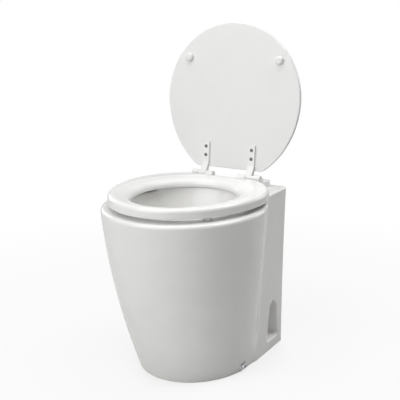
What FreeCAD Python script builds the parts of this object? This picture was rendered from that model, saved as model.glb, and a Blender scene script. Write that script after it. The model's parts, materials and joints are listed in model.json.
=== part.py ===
import FreeCAD, Part
import math
import os

# Electric toilet: a skirted china bowl with a plastic seat and lid, and a macerator pump with a rinse valve
# inside its skirt. Millimetres, +Z up, front towards -Y. The origin is on the floor, midway between the
# two rear floor screws.

# China body, outside
FOOT_HALF_WIDTH = 133.5
FOOT_CENTRE_Y = -125.0
FOOT_FRONT_Y = -283.5
WAIST_Z = 200.0
WAIST_HALF_WIDTH = 167.0
WAIST_CENTRE_Y = -163.5
WAIST_FRONT_Y = -352.0
RIM_Z = 391.0
RIM_HALF_WIDTH = 184.5
RIM_CENTRE_Y = -183.5
RIM_FRONT_Y = -388.0
RIM_ROUNDING = 8.0
SLAB_HALF_WIDTH = 137.8
SLAB_TOP_HALF_WIDTH = 141.0
SLAB_BACK_Y = 57.0
SLAB_CORNER = 8.0
FLANK_END_FOOT_Y = -82.0
FLANK_END_RIM_Y = -34.0
FLANK_LEAVE = 0.62
FLANK_JOIN = 0.42
LEDGE_RISE = 8.2
LEDGE_FRONT_Y = -104.0
LEDGE_RAMP = 30.0

# China body, inside
SKIRT_WALL = 10.0
BOWL_WALL = 9.0
DECK = 22.0
MOUTH_HALF_WIDTH = 133.0
MOUTH_CENTRE_Y = -182.0
MOUTH_FRONT_Y = -339.0
MOUTH_REAR_Y = -50.0
MOUTH_ROUNDING = 5.0
BELLY_Z = 275.0
BELLY_HALF_WIDTH = 106.0
BELLY_FRONT_Y = -300.0
BELLY_REAR_Y = -92.0
SUMP_Z = 172.0
SUMP_HALF_WIDTH = 34.0
OUTLET_Y = -175.0
OUTLET_BORE = 30.0
SPIGOT_RADIUS = 36.0
SPIGOT_BOTTOM_Z = 140.0
SERVICE_HALF_WIDTH = 102.0
SERVICE_TOP_Z = 300.0
SERVICE_CORNER = 40.0
INLET_Z = 345.0
INLET_HOLE = 9.5
INLET_BOSS = 22.0
INLET_BOSS_Y = -48.0

# Rear niches and floor fixing
NICHE_HALF_WIDTH = 30.5
NICHE_TOP_HALF_WIDTH = 16.0
NICHE_SILL_Z = 24.0
NICHE_TOP_Z = 122.0
NICHE_DEPTH = 37.0
NICHE_DRAFT = 7.0
NICHE_WALL = 8.0
NICHE_CORNER = 6.0
NICHE_ROUNDING = 5.0
FLOOR_SCREW_X = 117.0
FLOOR_SCREW_HOLE = 4.5
SKIRT_SCREW_Y = -155.0
SKIRT_SCREW_Z = 13.0
SKIRT_SCREW_RADIUS = 4.0
SKIRT_SCREW_HEAD = 6.5
SKIRT_SCREW_HEAD_LENGTH = 6.5
SKIRT_SCREW_REACH = 26.0
SKIRT_SCREW_PLAY = 0.3
HEX_SOCKET = 3.5
HEX_SOCKET_DEPTH = 4.0
SPOT_FACE_DEPTH = 2.4
SPOT_FACE_PLAY = 0.5
WASHER_RADIUS = 10.5
WASHER_THICKNESS = 2.6
BRACKET_PAD = 17.0
BRACKET_PAD_HALF_LENGTH = 17.0
BRACKET_HEIGHT = 25.0
BRACKET_THICKNESS = 4.0
BRACKET_REACH = 32.0
BRACKET_HALF_LENGTH = 15.0
BRACKET_FLOOR_HOLE = 3.0
BRACKET_HOLE_INSET = 21.0

# Seat and lid
BUFFER_RADIUS = 10.0
BUFFER_ROUNDING = 2.0
BUFFER_CLEARANCE = 0.1
SEAT_GAP = 9.2
SEAT_THICKNESS = 22.0
SEAT_HALF_WIDTH = 175.5
SEAT_REAR_HALF_WIDTH = 90.0
SEAT_REAR_Y = -9.0
SEAT_WIDEST_Y = -155.0
SEAT_FRONT_Y = -374.0
SEAT_CORNER = 20.0
SEAT_TOP_ROUNDING = 9.0
SEAT_BOTTOM_ROUNDING = 2.5
HOLE_HALF_WIDTH = 117.0
HOLE_CENTRE_Y = -178.0
HOLE_FRONT_Y = -326.0
HOLE_REAR_Y = -56.0
HOLE_EDGE = 6.0
HOLE_FLARE = 33.0
HOLE_CROWN_ANGLE = 75.0
HOLE_STEPS = 3
FRONT_BUFFER_X = 116.0
FRONT_BUFFER_Y = -289.0
REAR_BUFFER_X = 146.0
REAR_BUFFER_Y = -160.0
HINGE_Y = 7.0
HINGE_RISE = 19.8
LID_GAP = 9.8
LID_LENGTH = 350.0
LID_HALF_WIDTH = 178.0
LID_REAR_HALF_WIDTH = 90.0
LID_REAR_SETBACK = 15.6
LID_CORNER = 15.0
LID_THICKNESS = 12.0
LID_BACK_ROUNDING = 5.5
LID_FACE_ROUNDING = 2.0
LID_OPEN_ANGLE = 94.48
LID_BUFFER_X = 121.5
LID_BUFFER_REACH = 265.0
LID_BUFFER_CLEARANCE = 0.3

# Hinges
PIN_RADIUS = 3.0
RUNNING_CLEARANCE = 0.05
AXIAL_CLEARANCE = 0.4
KNUCKLE_RADIUS = 6.5
BASE_KNUCKLE_RADIUS = 7.5
SEAT_ARM_X = 36.0
LID_ARM_X = 54.0
BASE_KNUCKLE_X = 76.0
BASE_KNUCKLE_END_X = 93.0
STRAP_WIDTH = 16.5
STRAP_THICKNESS = 5.5
STRAP_END_REACH = 61.0
STRAP_BEND_REACH = 13.0
STRAP_SCREW_REACHES = (28.7, 50.0)
STRAP_SCREW_HEAD = 4.4
STRAP_SCREW_SHANK = 2.0
STRAP_SCREW_DEPTH = 8.0
SEAT_STRAP_THICKNESS = 5.0
SEAT_STRAP_FRONT_Y = -56.0
SEAT_STRAP_BEND = 1.0
SEAT_SCREW_YS = (-46.0, -26.0)
PIN_HEAD_RADIUS = 5.0
PIN_HEAD_LENGTH = 2.5
FOOT_END_X = 105.0
FOOT_FRONT_EDGE_Y = 11.0
FOOT_BACK_EDGE_Y = 38.0
FOOT_HEIGHT = 15.0
FOOT_ROUNDING = 3.0
HINGE_BOLT_X = 92.0
HINGE_BOLT_RADIUS = 4.0
HINGE_BOLT_HOLE = 5.5
HINGE_BOLT_TAIL = 16.0
BOLT_GRIP = 10.0
BOLT_WASHER_RADIUS = 11.0
BOLT_WASHER_THICKNESS = 2.0
WING_NUT_RADIUS = 8.0
WING_NUT_HEIGHT = 10.0
WING_REACH = 17.0
WING_THICKNESS = 4.0

# Macerator pump
SEAL_SQUEEZE = 3.0
SEAL_HEIGHT = 14.0
SOCKET_WALL = 4.5
SOCKET_HEIGHT = 26.0
SOCKET_STEP = 3.0
ELBOW_BORE = 27.0
ELBOW_WALL = 5.0
ELBOW_BEND = 50.0
FIT_GAP = 0.1
FLANGE_THICKNESS = 8.0
TIE_SCREW_CIRCLE = 48.0
TIE_SCREW_RADIUS = 2.5
TIE_SCREW_HEAD = 4.5
TIE_SCREWS = 4
TIE_LUG = 6.5
TIE_THREAD = 10.0
GASKET = 2.0
HOUSING_BORE = 36.0
HOUSING_WALL = 6.5
HOUSING_LENGTH = 62.0
PLATE_SEAT = 2.0
PLATE_OFFSET = 20.0
PLATE_THICKNESS = 2.5
PLATE_HOLES = 8
PLATE_HOLE_RADIUS = 5.5
PLATE_HOLE_CIRCLE = 23.0
BLADE_RADIUS = 31.0
BLADE_WIDTH = 12.0
BLADE_THICKNESS = 3.0
BLADE_GAP = 0.5
BLADE_NUT = 7.0
BLADE_NUT_LENGTH = 5.0
IMPELLER_RADIUS = 33.0
IMPELLER_VANES = 6
IMPELLER_WIDTH = 26.0
VANE_THICKNESS = 4.0
HUB_RADIUS = 9.0
SHAFT_RADIUS = 4.0
SHAFT_ROOM = 1.0
SHAFT_TIP = 1.0
SEAL_RADIUS = 12.0
SEAL_LENGTH = 6.0
ADAPTOR_LENGTH = 16.0
BEARING_RADIUS = 11.0
BEARING_WIDTH = 7.0
CAN_RADIUS = 38.0
CAN_WALL = 2.5
CAN_LENGTH = 72.0
MAGNET_THICKNESS = 6.0
MAGNET_LENGTH = 38.0
MAGNET_ANGLE = 130.0
WINDING_HEAD = 8.0
WINDING_CLEARANCE = 3.0
AIR_GAP = 0.8
STACK_SLOTS = 10
STACK_SLOT_WIDTH = 4.0
STACK_SLOT_DEPTH = 9.0
COMMUTATOR_RADIUS = 11.0
COMMUTATOR_LENGTH = 14.0
BRUSH_LENGTH = 14.0
BRUSH_SIZE = 7.0
BRUSH_GAP = 0.3
BRUSH_HOLDER_WALL = 1.5
BRUSH_HOLDER_GAP = 1.6
END_CAP = 12.0
END_CAP_ROUNDING = 4.0
GLAND_RADIUS = 8.0
GLAND_LENGTH = 9.0
GLAND_BORE = 4.0
GLAND_DROP = 22.0

# Pump base
BASE_HALF_WIDTH = 66.0
BASE_FRONT_Y = -58.0
BASE_BACK_Y = 36.0
BASE_PLATE = 5.0
FOOT_PAD_HEIGHT = 6.0
FOOT_PAD_RADIUS = 8.0
FOOT_PAD_INSET = 11.0
SADDLE_HALF_WIDTH = 30.0
SADDLE_LENGTH = 50.0
SADDLE_Y = -34.0
STRAP_BAND = 18.0
STRAP_BAND_THICKNESS = 1.6
STRAP_EAR = 14.0
STRAP_Y = -10.0
BAND_SCREW = 2.5

# Discharge
PORT_X = -25.0
PORT_BORE = 15.0
PORT_WALL = 4.0
PORT_TOP_Z = 142.0
PORT_FLANGE = 34.0
PORT_FLANGE_THICKNESS = 5.0
DISCHARGE_BEND = 26.0
TAIL_RADIUS = 19.0
TAIL_BORE = 15.5
TAIL_END_Y = 47.0
TAIL_FLANGE_Y = -32.0
FLAP_CHAMBER_BORE = 20.0
FLAP_CHAMBER_LENGTH = 38.0
FLAP_RADIUS = 17.0
FLAP_THICKNESS = 3.0
FLAP_PIN_RISE = 16.5
FLAP_PIN_RADIUS = 1.2
FLAP_EYE_RADIUS = 2.3
FLAP_EYE_WIDTH = 10.0
PORT_SCREW_CIRCLE = 29.0
PORT_SCREWS = 4

# Rinse valve
VALVE_X = 54.0
VALVE_Y = 2.0
VALVE_Z = 165.0
VALVE_HALF_SIZE = 15.0
VALVE_ROUNDING = 4.0
VALVE_HALF_HEIGHT = 16.0
BARB_RADIUS = 9.5
BARB_BORE = 6.5
BARB_LENGTH = 30.0
OUTLET_BARB = 24.0
COIL_RADIUS = 16.0
COIL_LENGTH = 30.0
CORE_RADIUS = 6.5
PLUNGER_RADIUS = 5.0
PLUNGER_LENGTH = 20.0
PLUNGER_GAP = 0.3
CORE_LENGTH = 32.0
CORE_FLANGE = 2.0
CORE_FLANGE_RADIUS = 13.0
COIL_ROUNDING = 2.5
DIAPHRAGM_RADIUS = 10.5
DIAPHRAGM_THICKNESS = 2.0
DIAPHRAGM_ROOM = 5.0
SPRING_WIRE = 0.45
SPRING_RADIUS = 3.4
SPRING_TURNS = 6
BRACKET_SHEET = 2.0
BRACKET_WIDTH = 20.0
BRACKET_FOOT = 18.0
BRACKET_SCREW = 8.0
BRACKET_SCREW_TIP = 1.0
HOSE_WALL = 3.0
HOSE_GRIP = 18.0
HOSE_LEAD = 26.0
HOSE_BEND = 42.0
CLIP_WIDTH = 8.0
CLIP_THICKNESS = 1.2
SPUD_FLANGE = 17.0
SPUD_FLANGE_THICKNESS = 4.0
SPUD_SEAL = 2.0
SPUD_DROP = 30.0
SPUD_PLUG = 18.0
SPUD_STANDOFF = 18.0

Vec = FreeCAD.Vector
X_AXIS = Vec(1, 0, 0)
Y_AXIS = Vec(0, 1, 0)
Z_AXIS = Vec(0, 0, 1)
ORIGIN = Vec(0, 0, 0)

LEDGE_Z = RIM_Z + LEDGE_RISE
SEAT_BOTTOM_Z = RIM_Z + SEAT_GAP
SEAT_TOP_Z = SEAT_BOTTOM_Z + SEAT_THICKNESS
HINGE_Z = SEAT_BOTTOM_Z + HINGE_RISE
LID_FACE_Z = SEAT_TOP_Z + LID_GAP
LID_REAR_Y = HINGE_Y - LID_REAR_SETBACK
HINGE_CENTRE = Vec(0, HINGE_Y, HINGE_Z)
FAR = 1000.0
OVERCUT = 1.0
TOUCH = 0.01


# Basic shapes

def rod(radius, length, start, direction=Z_AXIS):
    return Part.makeCylinder(radius, length, start, direction)


def tube(radius, bore, length, start, direction=Z_AXIS):
    return rod(radius, length, start, direction).cut(rod(bore, length, start, direction))


def block(x0, x1, y0, y1, z0, z1):
    return Part.makeBox(x1 - x0, y1 - y0, z1 - z0, Vec(x0, y0, z0))


def line(start, end):
    return Part.LineSegment(start, end).toShape()


def quarter(start, corner, end):
    """Quarter of an ellipse from start to end, inside the given corner of its box."""
    curve = Part.BezierCurve()
    curve.setPoles([start, corner, end])
    curve.setWeight(2, math.sqrt(0.5))
    return curve.toShape()


def bezier(*poles):
    curve = Part.BezierCurve()
    curve.setPoles(list(poles))
    return curve.toShape()


def loft(wires, ruled=False):
    return Part.makeLoft(wires, True, ruled)


def union(shapes):
    return shapes[0].multiFuse(shapes[1:]).removeSplitter()


def mirrored(shape):
    return shape.mirror(ORIGIN, X_AXIS)


def pair(shape):
    return Part.Compound([shape, mirrored(shape)])


def group(shapes):
    """Several right-hand pieces and their mirror images."""
    right = list(shapes)
    return Part.Compound(right + [mirrored(shape) for shape in right])


def side_prism(points, x0, x1):
    """Closed outline of (y, z) points drawn at x0 and extruded to x1."""
    corners = [Vec(x0, y, z) for y, z in points]
    face = Part.Face(Part.makePolygon(corners + corners[:1]))
    return face.extrude(Vec(x1 - x0, 0, 0))


def flat_edges(shape, z):
    """Edges that lie in the horizontal plane at height z."""
    found = []
    for edge in shape.Edges:
        box = edge.BoundBox
        if abs(box.ZMin - z) < TOUCH and abs(box.ZMax - z) < TOUCH:
            found.append(edge)
    return found


def upright_edges(shape, x, y):
    """Upright edges above the points (x, y) and (-x, y)."""
    found = []
    for edge in shape.Edges:
        box = edge.BoundBox
        upright = box.XLength < TOUCH and box.YLength < TOUCH
        if upright and abs(abs(box.XMin) - x) < TOUCH and abs(box.YMin - y) < TOUCH:
            found.append(edge)
    return found


def tangent_point(point, centre, radius, side):
    """Where the line from point touches the circle, on the given side (1 or -1), all as (y, z)."""
    dy = point[0] - centre[0]
    dz = point[1] - centre[1]
    angle = math.atan2(dz, dy) + side * math.acos(radius / math.hypot(dy, dz))
    return centre[0] + radius * math.cos(angle), centre[1] + radius * math.sin(angle)


def egg(z, half_width, centre_y, front_y, rear_y):
    """Plan outline of two half ellipses that share one width."""
    left = Vec(-half_width, centre_y, z)
    right = Vec(half_width, centre_y, z)
    front = Vec(0, front_y, z)
    rear = Vec(0, rear_y, z)
    return Part.Wire([
        quarter(left, Vec(-half_width, front_y, z), front),
        quarter(front, Vec(half_width, front_y, z), right),
        quarter(right, Vec(half_width, rear_y, z), rear),
        quarter(rear, Vec(-half_width, rear_y, z), left),
    ])


# China body

def through_levels(z, foot, waist, rim):
    """Smooth value at height z from its values at the foot, the waist and the rim."""
    low = foot * (z - WAIST_Z) * (z - RIM_Z) / (WAIST_Z * RIM_Z)
    middle = waist * z * (z - RIM_Z) / (WAIST_Z * (WAIST_Z - RIM_Z))
    high = rim * z * (z - WAIST_Z) / (RIM_Z * (RIM_Z - WAIST_Z))
    return low + middle + high


def tub_sizes(z):
    half_width = through_levels(z, FOOT_HALF_WIDTH, WAIST_HALF_WIDTH, RIM_HALF_WIDTH)
    centre_y = through_levels(z, FOOT_CENTRE_Y, WAIST_CENTRE_Y, RIM_CENTRE_Y)
    front_y = through_levels(z, FOOT_FRONT_Y, WAIST_FRONT_Y, RIM_FRONT_Y)
    return half_width, centre_y, front_y


def skin_x(y, z):
    """Half-width of the tub's front half at the given place."""
    half_width, centre_y, front_y = tub_sizes(z)
    along = (y - centre_y) / (front_y - centre_y)
    return half_width * math.sqrt(1.0 - along * along)


def body_outline(z, wall=0.0):
    """Plan outline at height z: half ellipse in front, S-shaped flanks, flat-sided slab behind."""
    level = max(z, 0.0)
    half_width, centre_y, front_y = tub_sizes(level)
    half_width -= wall
    front_y += wall
    slab = through_levels(level, SLAB_HALF_WIDTH, SLAB_HALF_WIDTH, SLAB_TOP_HALF_WIDTH) - wall
    back_y = SLAB_BACK_Y - wall
    flank_y = FLANK_END_FOOT_Y + (FLANK_END_RIM_Y - FLANK_END_FOOT_Y) * level / RIM_Z
    swing = flank_y - centre_y
    widest = Vec(half_width, centre_y, z)
    flank_end = Vec(slab, flank_y, z)
    flank = bezier(
        widest,
        widest + Y_AXIS * (FLANK_LEAVE * swing),
        flank_end - Y_AXIS * (FLANK_JOIN * swing),
        flank_end,
    )
    corner_start = Vec(slab, back_y - SLAB_CORNER, z)
    corner_end = Vec(slab - SLAB_CORNER, back_y, z)
    right = [
        quarter(Vec(0, front_y, z), Vec(half_width, front_y, z), widest),
        flank,
        line(flank_end, corner_start),
        quarter(corner_start, Vec(slab, back_y, z), corner_end),
        line(corner_end, Vec(0, back_y, z)),
    ]
    left = [mirrored(edge) for edge in reversed(right)]
    return Part.Wire(right + left)


def bowl_form(grow, bottom_z):
    """Inside of the bowl, or its outside when grown by the wall."""
    sump = SUMP_HALF_WIDTH + grow
    return loft([
        egg(bottom_z, sump, OUTLET_Y, OUTLET_Y - sump, OUTLET_Y + sump),
        egg(BELLY_Z, BELLY_HALF_WIDTH + grow, MOUTH_CENTRE_Y, BELLY_FRONT_Y - grow, BELLY_REAR_Y + grow),
        egg(LEDGE_Z, MOUTH_HALF_WIDTH + grow, MOUTH_CENTRE_Y, MOUTH_FRONT_Y - grow, MOUTH_REAR_Y + grow),
    ])


def niche_jamb(x, inset, sill_z, side):
    """Points up one jamb: end of the sill, sharp corner, foot of the slope, start of the round head."""
    foot = NICHE_HALF_WIDTH - inset
    head = NICHE_TOP_HALF_WIDTH - inset
    spring_z = NICHE_TOP_Z - NICHE_TOP_HALF_WIDTH
    top_y, top_z = tangent_point((foot, sill_z), (0.0, spring_z), head, 1)
    corner = Vec(x, side * foot, sill_z)
    top = Vec(x, side * top_y, top_z)
    sill_end = corner - Y_AXIS * (side * NICHE_CORNER)
    slope_foot = corner + (top - corner).normalize() * NICHE_CORNER
    return sill_end, corner, slope_foot, top


def niche_outline(x, inset, sill_z):
    """Arched outline on the slab's side: rounded lower corners, sloping jambs and a round head."""
    rear_sill, rear_corner, rear_foot, rear_top = niche_jamb(x, inset, sill_z, 1)
    front_sill, front_corner, front_foot, front_top = niche_jamb(x, inset, sill_z, -1)
    crown = Vec(x, 0, NICHE_TOP_Z - inset)
    return Part.Wire([
        line(front_sill, rear_sill),
        quarter(rear_sill, rear_corner, rear_foot),
        line(rear_foot, rear_top),
        Part.Arc(rear_top, crown, front_top).toShape(),
        line(front_top, front_foot),
        quarter(front_foot, front_corner, front_sill),
    ])


def niche_hollow():
    mouth_x = SLAB_HALF_WIDTH
    back_x = SLAB_HALF_WIDTH - NICHE_DEPTH
    mouth = niche_outline(mouth_x, 0.0, NICHE_SILL_Z)
    back = niche_outline(back_x, NICHE_DRAFT, NICHE_SILL_Z + NICHE_DRAFT)
    straight = Part.Face(mouth).extrude(Vec(NICHE_DRAFT, 0, 0))
    return union([loft([back, mouth], True), straight])


def niche_shell():
    outer_x = SLAB_HALF_WIDTH - SKIRT_WALL / 2
    inner_x = SLAB_HALF_WIDTH - NICHE_DEPTH - NICHE_WALL
    face = Part.Face(niche_outline(inner_x, -NICHE_WALL, -NICHE_CORNER))
    return face.extrude(Vec(outer_x - inner_x, 0, 0))


def screw_pad_x():
    """Inner face of the flat pad behind each skirt screw."""
    return skin_x(SKIRT_SCREW_Y, SKIRT_SCREW_Z) - BRACKET_PAD


def service_opening():
    start_y = SLAB_BACK_Y - 2 * SKIRT_WALL
    opening = block(-SERVICE_HALF_WIDTH, SERVICE_HALF_WIDTH, start_y, SLAB_BACK_Y + OVERCUT,
                    -OVERCUT, SERVICE_TOP_Z)
    corners = []
    for edge in opening.Edges:
        box = edge.BoundBox
        if box.XLength < TOUCH and box.ZLength < TOUCH and box.ZMin > SERVICE_TOP_Z - OVERCUT:
            corners.append(edge)
    return opening.makeFillet(SERVICE_CORNER, corners)


def room_above_rim():
    """Space over the rim, as far back as the S-shaped ramp that climbs to the hinge ledge."""
    turn = 2 * math.atan(LEDGE_RISE / LEDGE_RAMP)
    radius = LEDGE_RAMP / (2 * math.sin(turn))
    foot = Vec(-FAR, LEDGE_FRONT_Y - LEDGE_RAMP, RIM_Z)
    top = Vec(-FAR, LEDGE_FRONT_Y, LEDGE_Z)
    middle = (foot + top) / 2
    bow = Vec(0, radius * math.sin(turn / 2), radius * (1 - math.cos(turn / 2)))
    far_top = Vec(-FAR, LEDGE_FRONT_Y, FAR)
    far_front = Vec(-FAR, -FAR, FAR)
    low_front = Vec(-FAR, -FAR, RIM_Z)
    side = Part.Wire([
        line(low_front, foot),
        Part.Arc(foot, foot + bow, middle).toShape(),
        Part.Arc(middle, top - bow, top).toShape(),
        line(top, far_top),
        line(far_top, far_front),
        line(far_front, low_front),
    ])
    return Part.Face(side).extrude(Vec(2 * FAR, 0, 0))


def rim_edges(body):
    """Outer top edges of the rim, the ramp and the ledge, without the lines across the ramp."""
    found = []
    for edge in body.Edges:
        box = edge.BoundBox
        across = box.YLength < TOUCH and box.YMax < SLAB_BACK_Y - OVERCUT
        if box.ZMin > RIM_Z - OVERCUT and not across:
            found.append(edge)
    return found


def china_body():
    solid = loft([body_outline(0.0), body_outline(WAIST_Z), body_outline(LEDGE_Z)])
    body = solid.cut(room_above_rim())
    body = body.makeFillet(RIM_ROUNDING, rim_edges(body))

    cavity_top = RIM_Z - DECK
    levels = (-OVERCUT, WAIST_Z, cavity_top)
    cavity = loft([body_outline(z, SKIRT_WALL) for z in levels])
    cavity = cavity.cut(bowl_form(BOWL_WALL, SUMP_Z - BOWL_WALL))
    cavity = cavity.cut(rod(SPIGOT_RADIUS, SUMP_Z - SPIGOT_BOTTOM_Z, Vec(0, OUTLET_Y, SPIGOT_BOTTOM_Z)))
    inlet_start = Vec(0, MOUTH_REAR_Y - 2 * INLET_BOSS, INLET_Z)
    inlet_length = INLET_BOSS_Y - inlet_start.y
    cavity = cavity.cut(rod(INLET_BOSS, inlet_length, inlet_start, Y_AXIS))
    for shell in (niche_shell(), mirrored(niche_shell())):
        cavity = cavity.cut(shell)
    pad_x = screw_pad_x()
    pad = block(pad_x, pad_x + BRACKET_PAD, SKIRT_SCREW_Y - BRACKET_PAD_HALF_LENGTH,
                SKIRT_SCREW_Y + BRACKET_PAD_HALF_LENGTH, -FAR, BRACKET_HEIGHT + BRACKET_THICKNESS)
    for shape in (pad, mirrored(pad)):
        cavity = cavity.cut(shape)
    body = body.cut(cavity)

    cuts = [
        bowl_form(0.0, SUMP_Z),
        rod(OUTLET_BORE, FAR, Vec(0, OUTLET_Y, SUMP_Z + OVERCUT), -Z_AXIS),
        rod(INLET_HOLE, inlet_length + INLET_BOSS, inlet_start, Y_AXIS),
        service_opening(),
    ]
    spot_x = skin_x(SKIRT_SCREW_Y, SKIRT_SCREW_Z) - SPOT_FACE_DEPTH
    screw_start = Vec(pad_x - OVERCUT, SKIRT_SCREW_Y, SKIRT_SCREW_Z)
    right_cuts = [
        niche_hollow(),
        rod(FLOOR_SCREW_HOLE, 2 * NICHE_SILL_Z, Vec(FLOOR_SCREW_X, 0, -OVERCUT)),
        rod(SKIRT_SCREW_RADIUS + SKIRT_SCREW_PLAY, 2 * BRACKET_PAD, screw_start, X_AXIS),
        rod(WASHER_RADIUS + SPOT_FACE_PLAY, BRACKET_PAD, Vec(spot_x, SKIRT_SCREW_Y, SKIRT_SCREW_Z), X_AXIS),
        rod(HINGE_BOLT_HOLE, DECK + 2 * LEDGE_RISE, hinge_bolt_foot() + Z_AXIS * OVERCUT, -Z_AXIS),
    ]
    for cut in right_cuts:
        cuts.append(cut)
        cuts.append(mirrored(cut))
    for cut in cuts:
        body = body.cut(cut)
    body = body.makeFillet(NICHE_ROUNDING, niche_edges(body))
    return body.makeFillet(MOUTH_ROUNDING, mouth_edges(body))


def niche_edges(body):
    """Edges where the niches open in the slab's sides."""
    found = []
    for edge in body.Edges:
        box = edge.BoundBox
        at_side = min(abs(box.XMin), abs(box.XMax)) > SLAB_HALF_WIDTH - NICHE_ROUNDING
        between = box.ZMin > NICHE_SILL_Z - OVERCUT and box.ZMax < NICHE_TOP_Z + OVERCUT
        if at_side and between:
            found.append(edge)
    return found


def mouth_edges(body):
    """Edges where the bowl opens in the rim, the ramp and the ledge."""
    reach = MOUTH_HALF_WIDTH + OVERCUT
    found = []
    for edge in body.Edges:
        box = edge.BoundBox
        inside = box.XMax < reach and box.XMin > -reach and box.YMax < MOUTH_REAR_Y + OVERCUT
        if inside and box.ZMin > RIM_Z - OVERCUT:
            found.append(edge)
    return found


def hinge_bolt_foot():
    """Where the hinge bolt meets the ledge."""
    return Vec(HINGE_BOLT_X, (FOOT_FRONT_EDGE_Y + FOOT_BACK_EDGE_Y) / 2, LEDGE_Z)


# Seat, lid and hinges

def plan_form(z, height, half_width, rear_half_width, rear_y, widest_y, front_y, corner):
    """Seat-shaped slab: elliptical front, round flanks, straight rear edge with rounded corners."""
    spread = half_width - rear_half_width
    depth = rear_y - widest_y
    radius = (spread * spread + depth * depth) / (2 * spread)
    turn = math.asin(depth / radius) / 2
    middle = Vec(half_width - radius + radius * math.cos(turn), widest_y + radius * math.sin(turn), z)
    front = Vec(0, front_y, z)
    widest = Vec(half_width, widest_y, z)
    rear = Vec(rear_half_width, rear_y, z)
    right = [
        quarter(front, Vec(half_width, front_y, z), widest),
        Part.Arc(widest, middle, rear).toShape(),
        line(rear, Vec(0, rear_y, z)),
    ]
    left = [mirrored(edge) for edge in reversed(right)]
    solid = Part.Face(Part.Wire(right + left)).extrude(Z_AXIS * height)
    return solid.makeFillet(corner, upright_edges(solid, rear_half_width, rear_y))


def seat_hole():
    """Hole in the seat: upright edge below, then a crowned slope that flattens towards the top."""
    edge_z = SEAT_BOTTOM_Z + HOLE_EDGE
    crown = SEAT_THICKNESS - HOLE_EDGE
    last = math.radians(HOLE_CROWN_ANGLE)
    sections = []
    for step in range(HOLE_STEPS + 1):
        angle = last * step / HOLE_STEPS
        grow = HOLE_FLARE * (1 - math.cos(angle)) / (1 - math.cos(last))
        z = edge_z + crown * math.sin(angle) / math.sin(last)
        half_width = HOLE_HALF_WIDTH + grow
        sections.append(egg(z, half_width, HOLE_CENTRE_Y, HOLE_FRONT_Y - grow, HOLE_REAR_Y + grow))
    below = Part.Face(sections[0]).extrude(-Z_AXIS * (HOLE_EDGE + OVERCUT))
    return union([loft(sections), below])


def seat_ring():
    seat = plan_form(SEAT_BOTTOM_Z, SEAT_THICKNESS, SEAT_HALF_WIDTH, SEAT_REAR_HALF_WIDTH, SEAT_REAR_Y,
                     SEAT_WIDEST_Y, SEAT_FRONT_Y, SEAT_CORNER)
    seat = seat.makeFillet(SEAT_TOP_ROUNDING, flat_edges(seat, SEAT_TOP_Z))
    seat = seat.makeFillet(SEAT_BOTTOM_ROUNDING, flat_edges(seat, SEAT_BOTTOM_Z))
    seat = seat.cut(seat_hole())
    pocket = block(SEAT_ARM_X, LID_ARM_X, SEAT_STRAP_FRONT_Y - FIT_GAP, FAR, -FAR,
                   SEAT_BOTTOM_Z + SEAT_STRAP_THICKNESS)
    cuts = [pocket] + [strap_screw_hole(place) for place in seat_screw_places()]
    for cut in cuts:
        seat = seat.cut(cut).cut(mirrored(cut))
    return seat


def seat_screw_places():
    x = (SEAT_ARM_X + LID_ARM_X) / 2
    return [Vec(x, y, SEAT_BOTTOM_Z) for y in SEAT_SCREW_YS]


def strap_screw(place):
    """Countersunk screw with its head flush at place and its shank upwards."""
    sunk = STRAP_SCREW_HEAD - STRAP_SCREW_SHANK
    head = Part.makeCone(STRAP_SCREW_HEAD, STRAP_SCREW_SHANK, sunk, place)
    screw = union([head, rod(STRAP_SCREW_SHANK, STRAP_THICKNESS + STRAP_SCREW_DEPTH, place)])
    return screw.cut(rod(STRAP_SCREW_SHANK / 2, sunk, place))


def strap_screw_hole(place):
    sunk = STRAP_SCREW_HEAD - STRAP_SCREW_SHANK
    head_radius = STRAP_SCREW_HEAD + FIT_GAP
    shank_radius = STRAP_SCREW_SHANK + FIT_GAP
    head = Part.makeCone(head_radius, shank_radius, sunk, place)
    length = STRAP_THICKNESS + STRAP_SCREW_DEPTH + FIT_GAP
    return union([head, rod(shank_radius, length, place)])


def knuckle(outline, x0, x1, barrel_x1, radius):
    """Arm with the given side outline from x0 to x1, and its bored barrel from x0 to barrel_x1."""
    barrel_start = Vec(x0, HINGE_Y, HINGE_Z)
    arm = union([side_prism(outline, x0, x1), rod(radius, barrel_x1 - x0, barrel_start, X_AXIS)])
    bore_start = barrel_start - X_AXIS * OVERCUT
    return arm.cut(rod(PIN_RADIUS + RUNNING_CLEARANCE, FAR, bore_start, X_AXIS))


def seat_hinge_arm():
    axis = (HINGE_Y, HINGE_Z)
    strap_top = SEAT_BOTTOM_Z + SEAT_STRAP_THICKNESS
    upper = (SEAT_REAR_Y + SEAT_STRAP_BEND, strap_top)
    lower = (HINGE_Y - KNUCKLE_RADIUS, SEAT_BOTTOM_Z)
    outline = [
        (SEAT_STRAP_FRONT_Y, SEAT_BOTTOM_Z),
        (SEAT_STRAP_FRONT_Y, strap_top),
        upper,
        tangent_point(upper, axis, KNUCKLE_RADIUS, -1),
        axis,
        tangent_point(lower, axis, KNUCKLE_RADIUS, 1),
        lower,
    ]
    x0 = SEAT_ARM_X + AXIAL_CLEARANCE
    x1 = LID_ARM_X - AXIAL_CLEARANCE
    arm = knuckle(outline, x0, x1, x1, KNUCKLE_RADIUS)
    for place in seat_screw_places():
        arm = arm.cut(strap_screw_hole(place))
    return arm


def lid_screw_places():
    """Screw places on the lid straps while the lid is closed."""
    x = LID_ARM_X + AXIAL_CLEARANCE + STRAP_WIDTH / 2
    z = LID_FACE_Z - STRAP_THICKNESS
    return [Vec(x, LID_REAR_Y - reach, z) for reach in STRAP_SCREW_REACHES]


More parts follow.
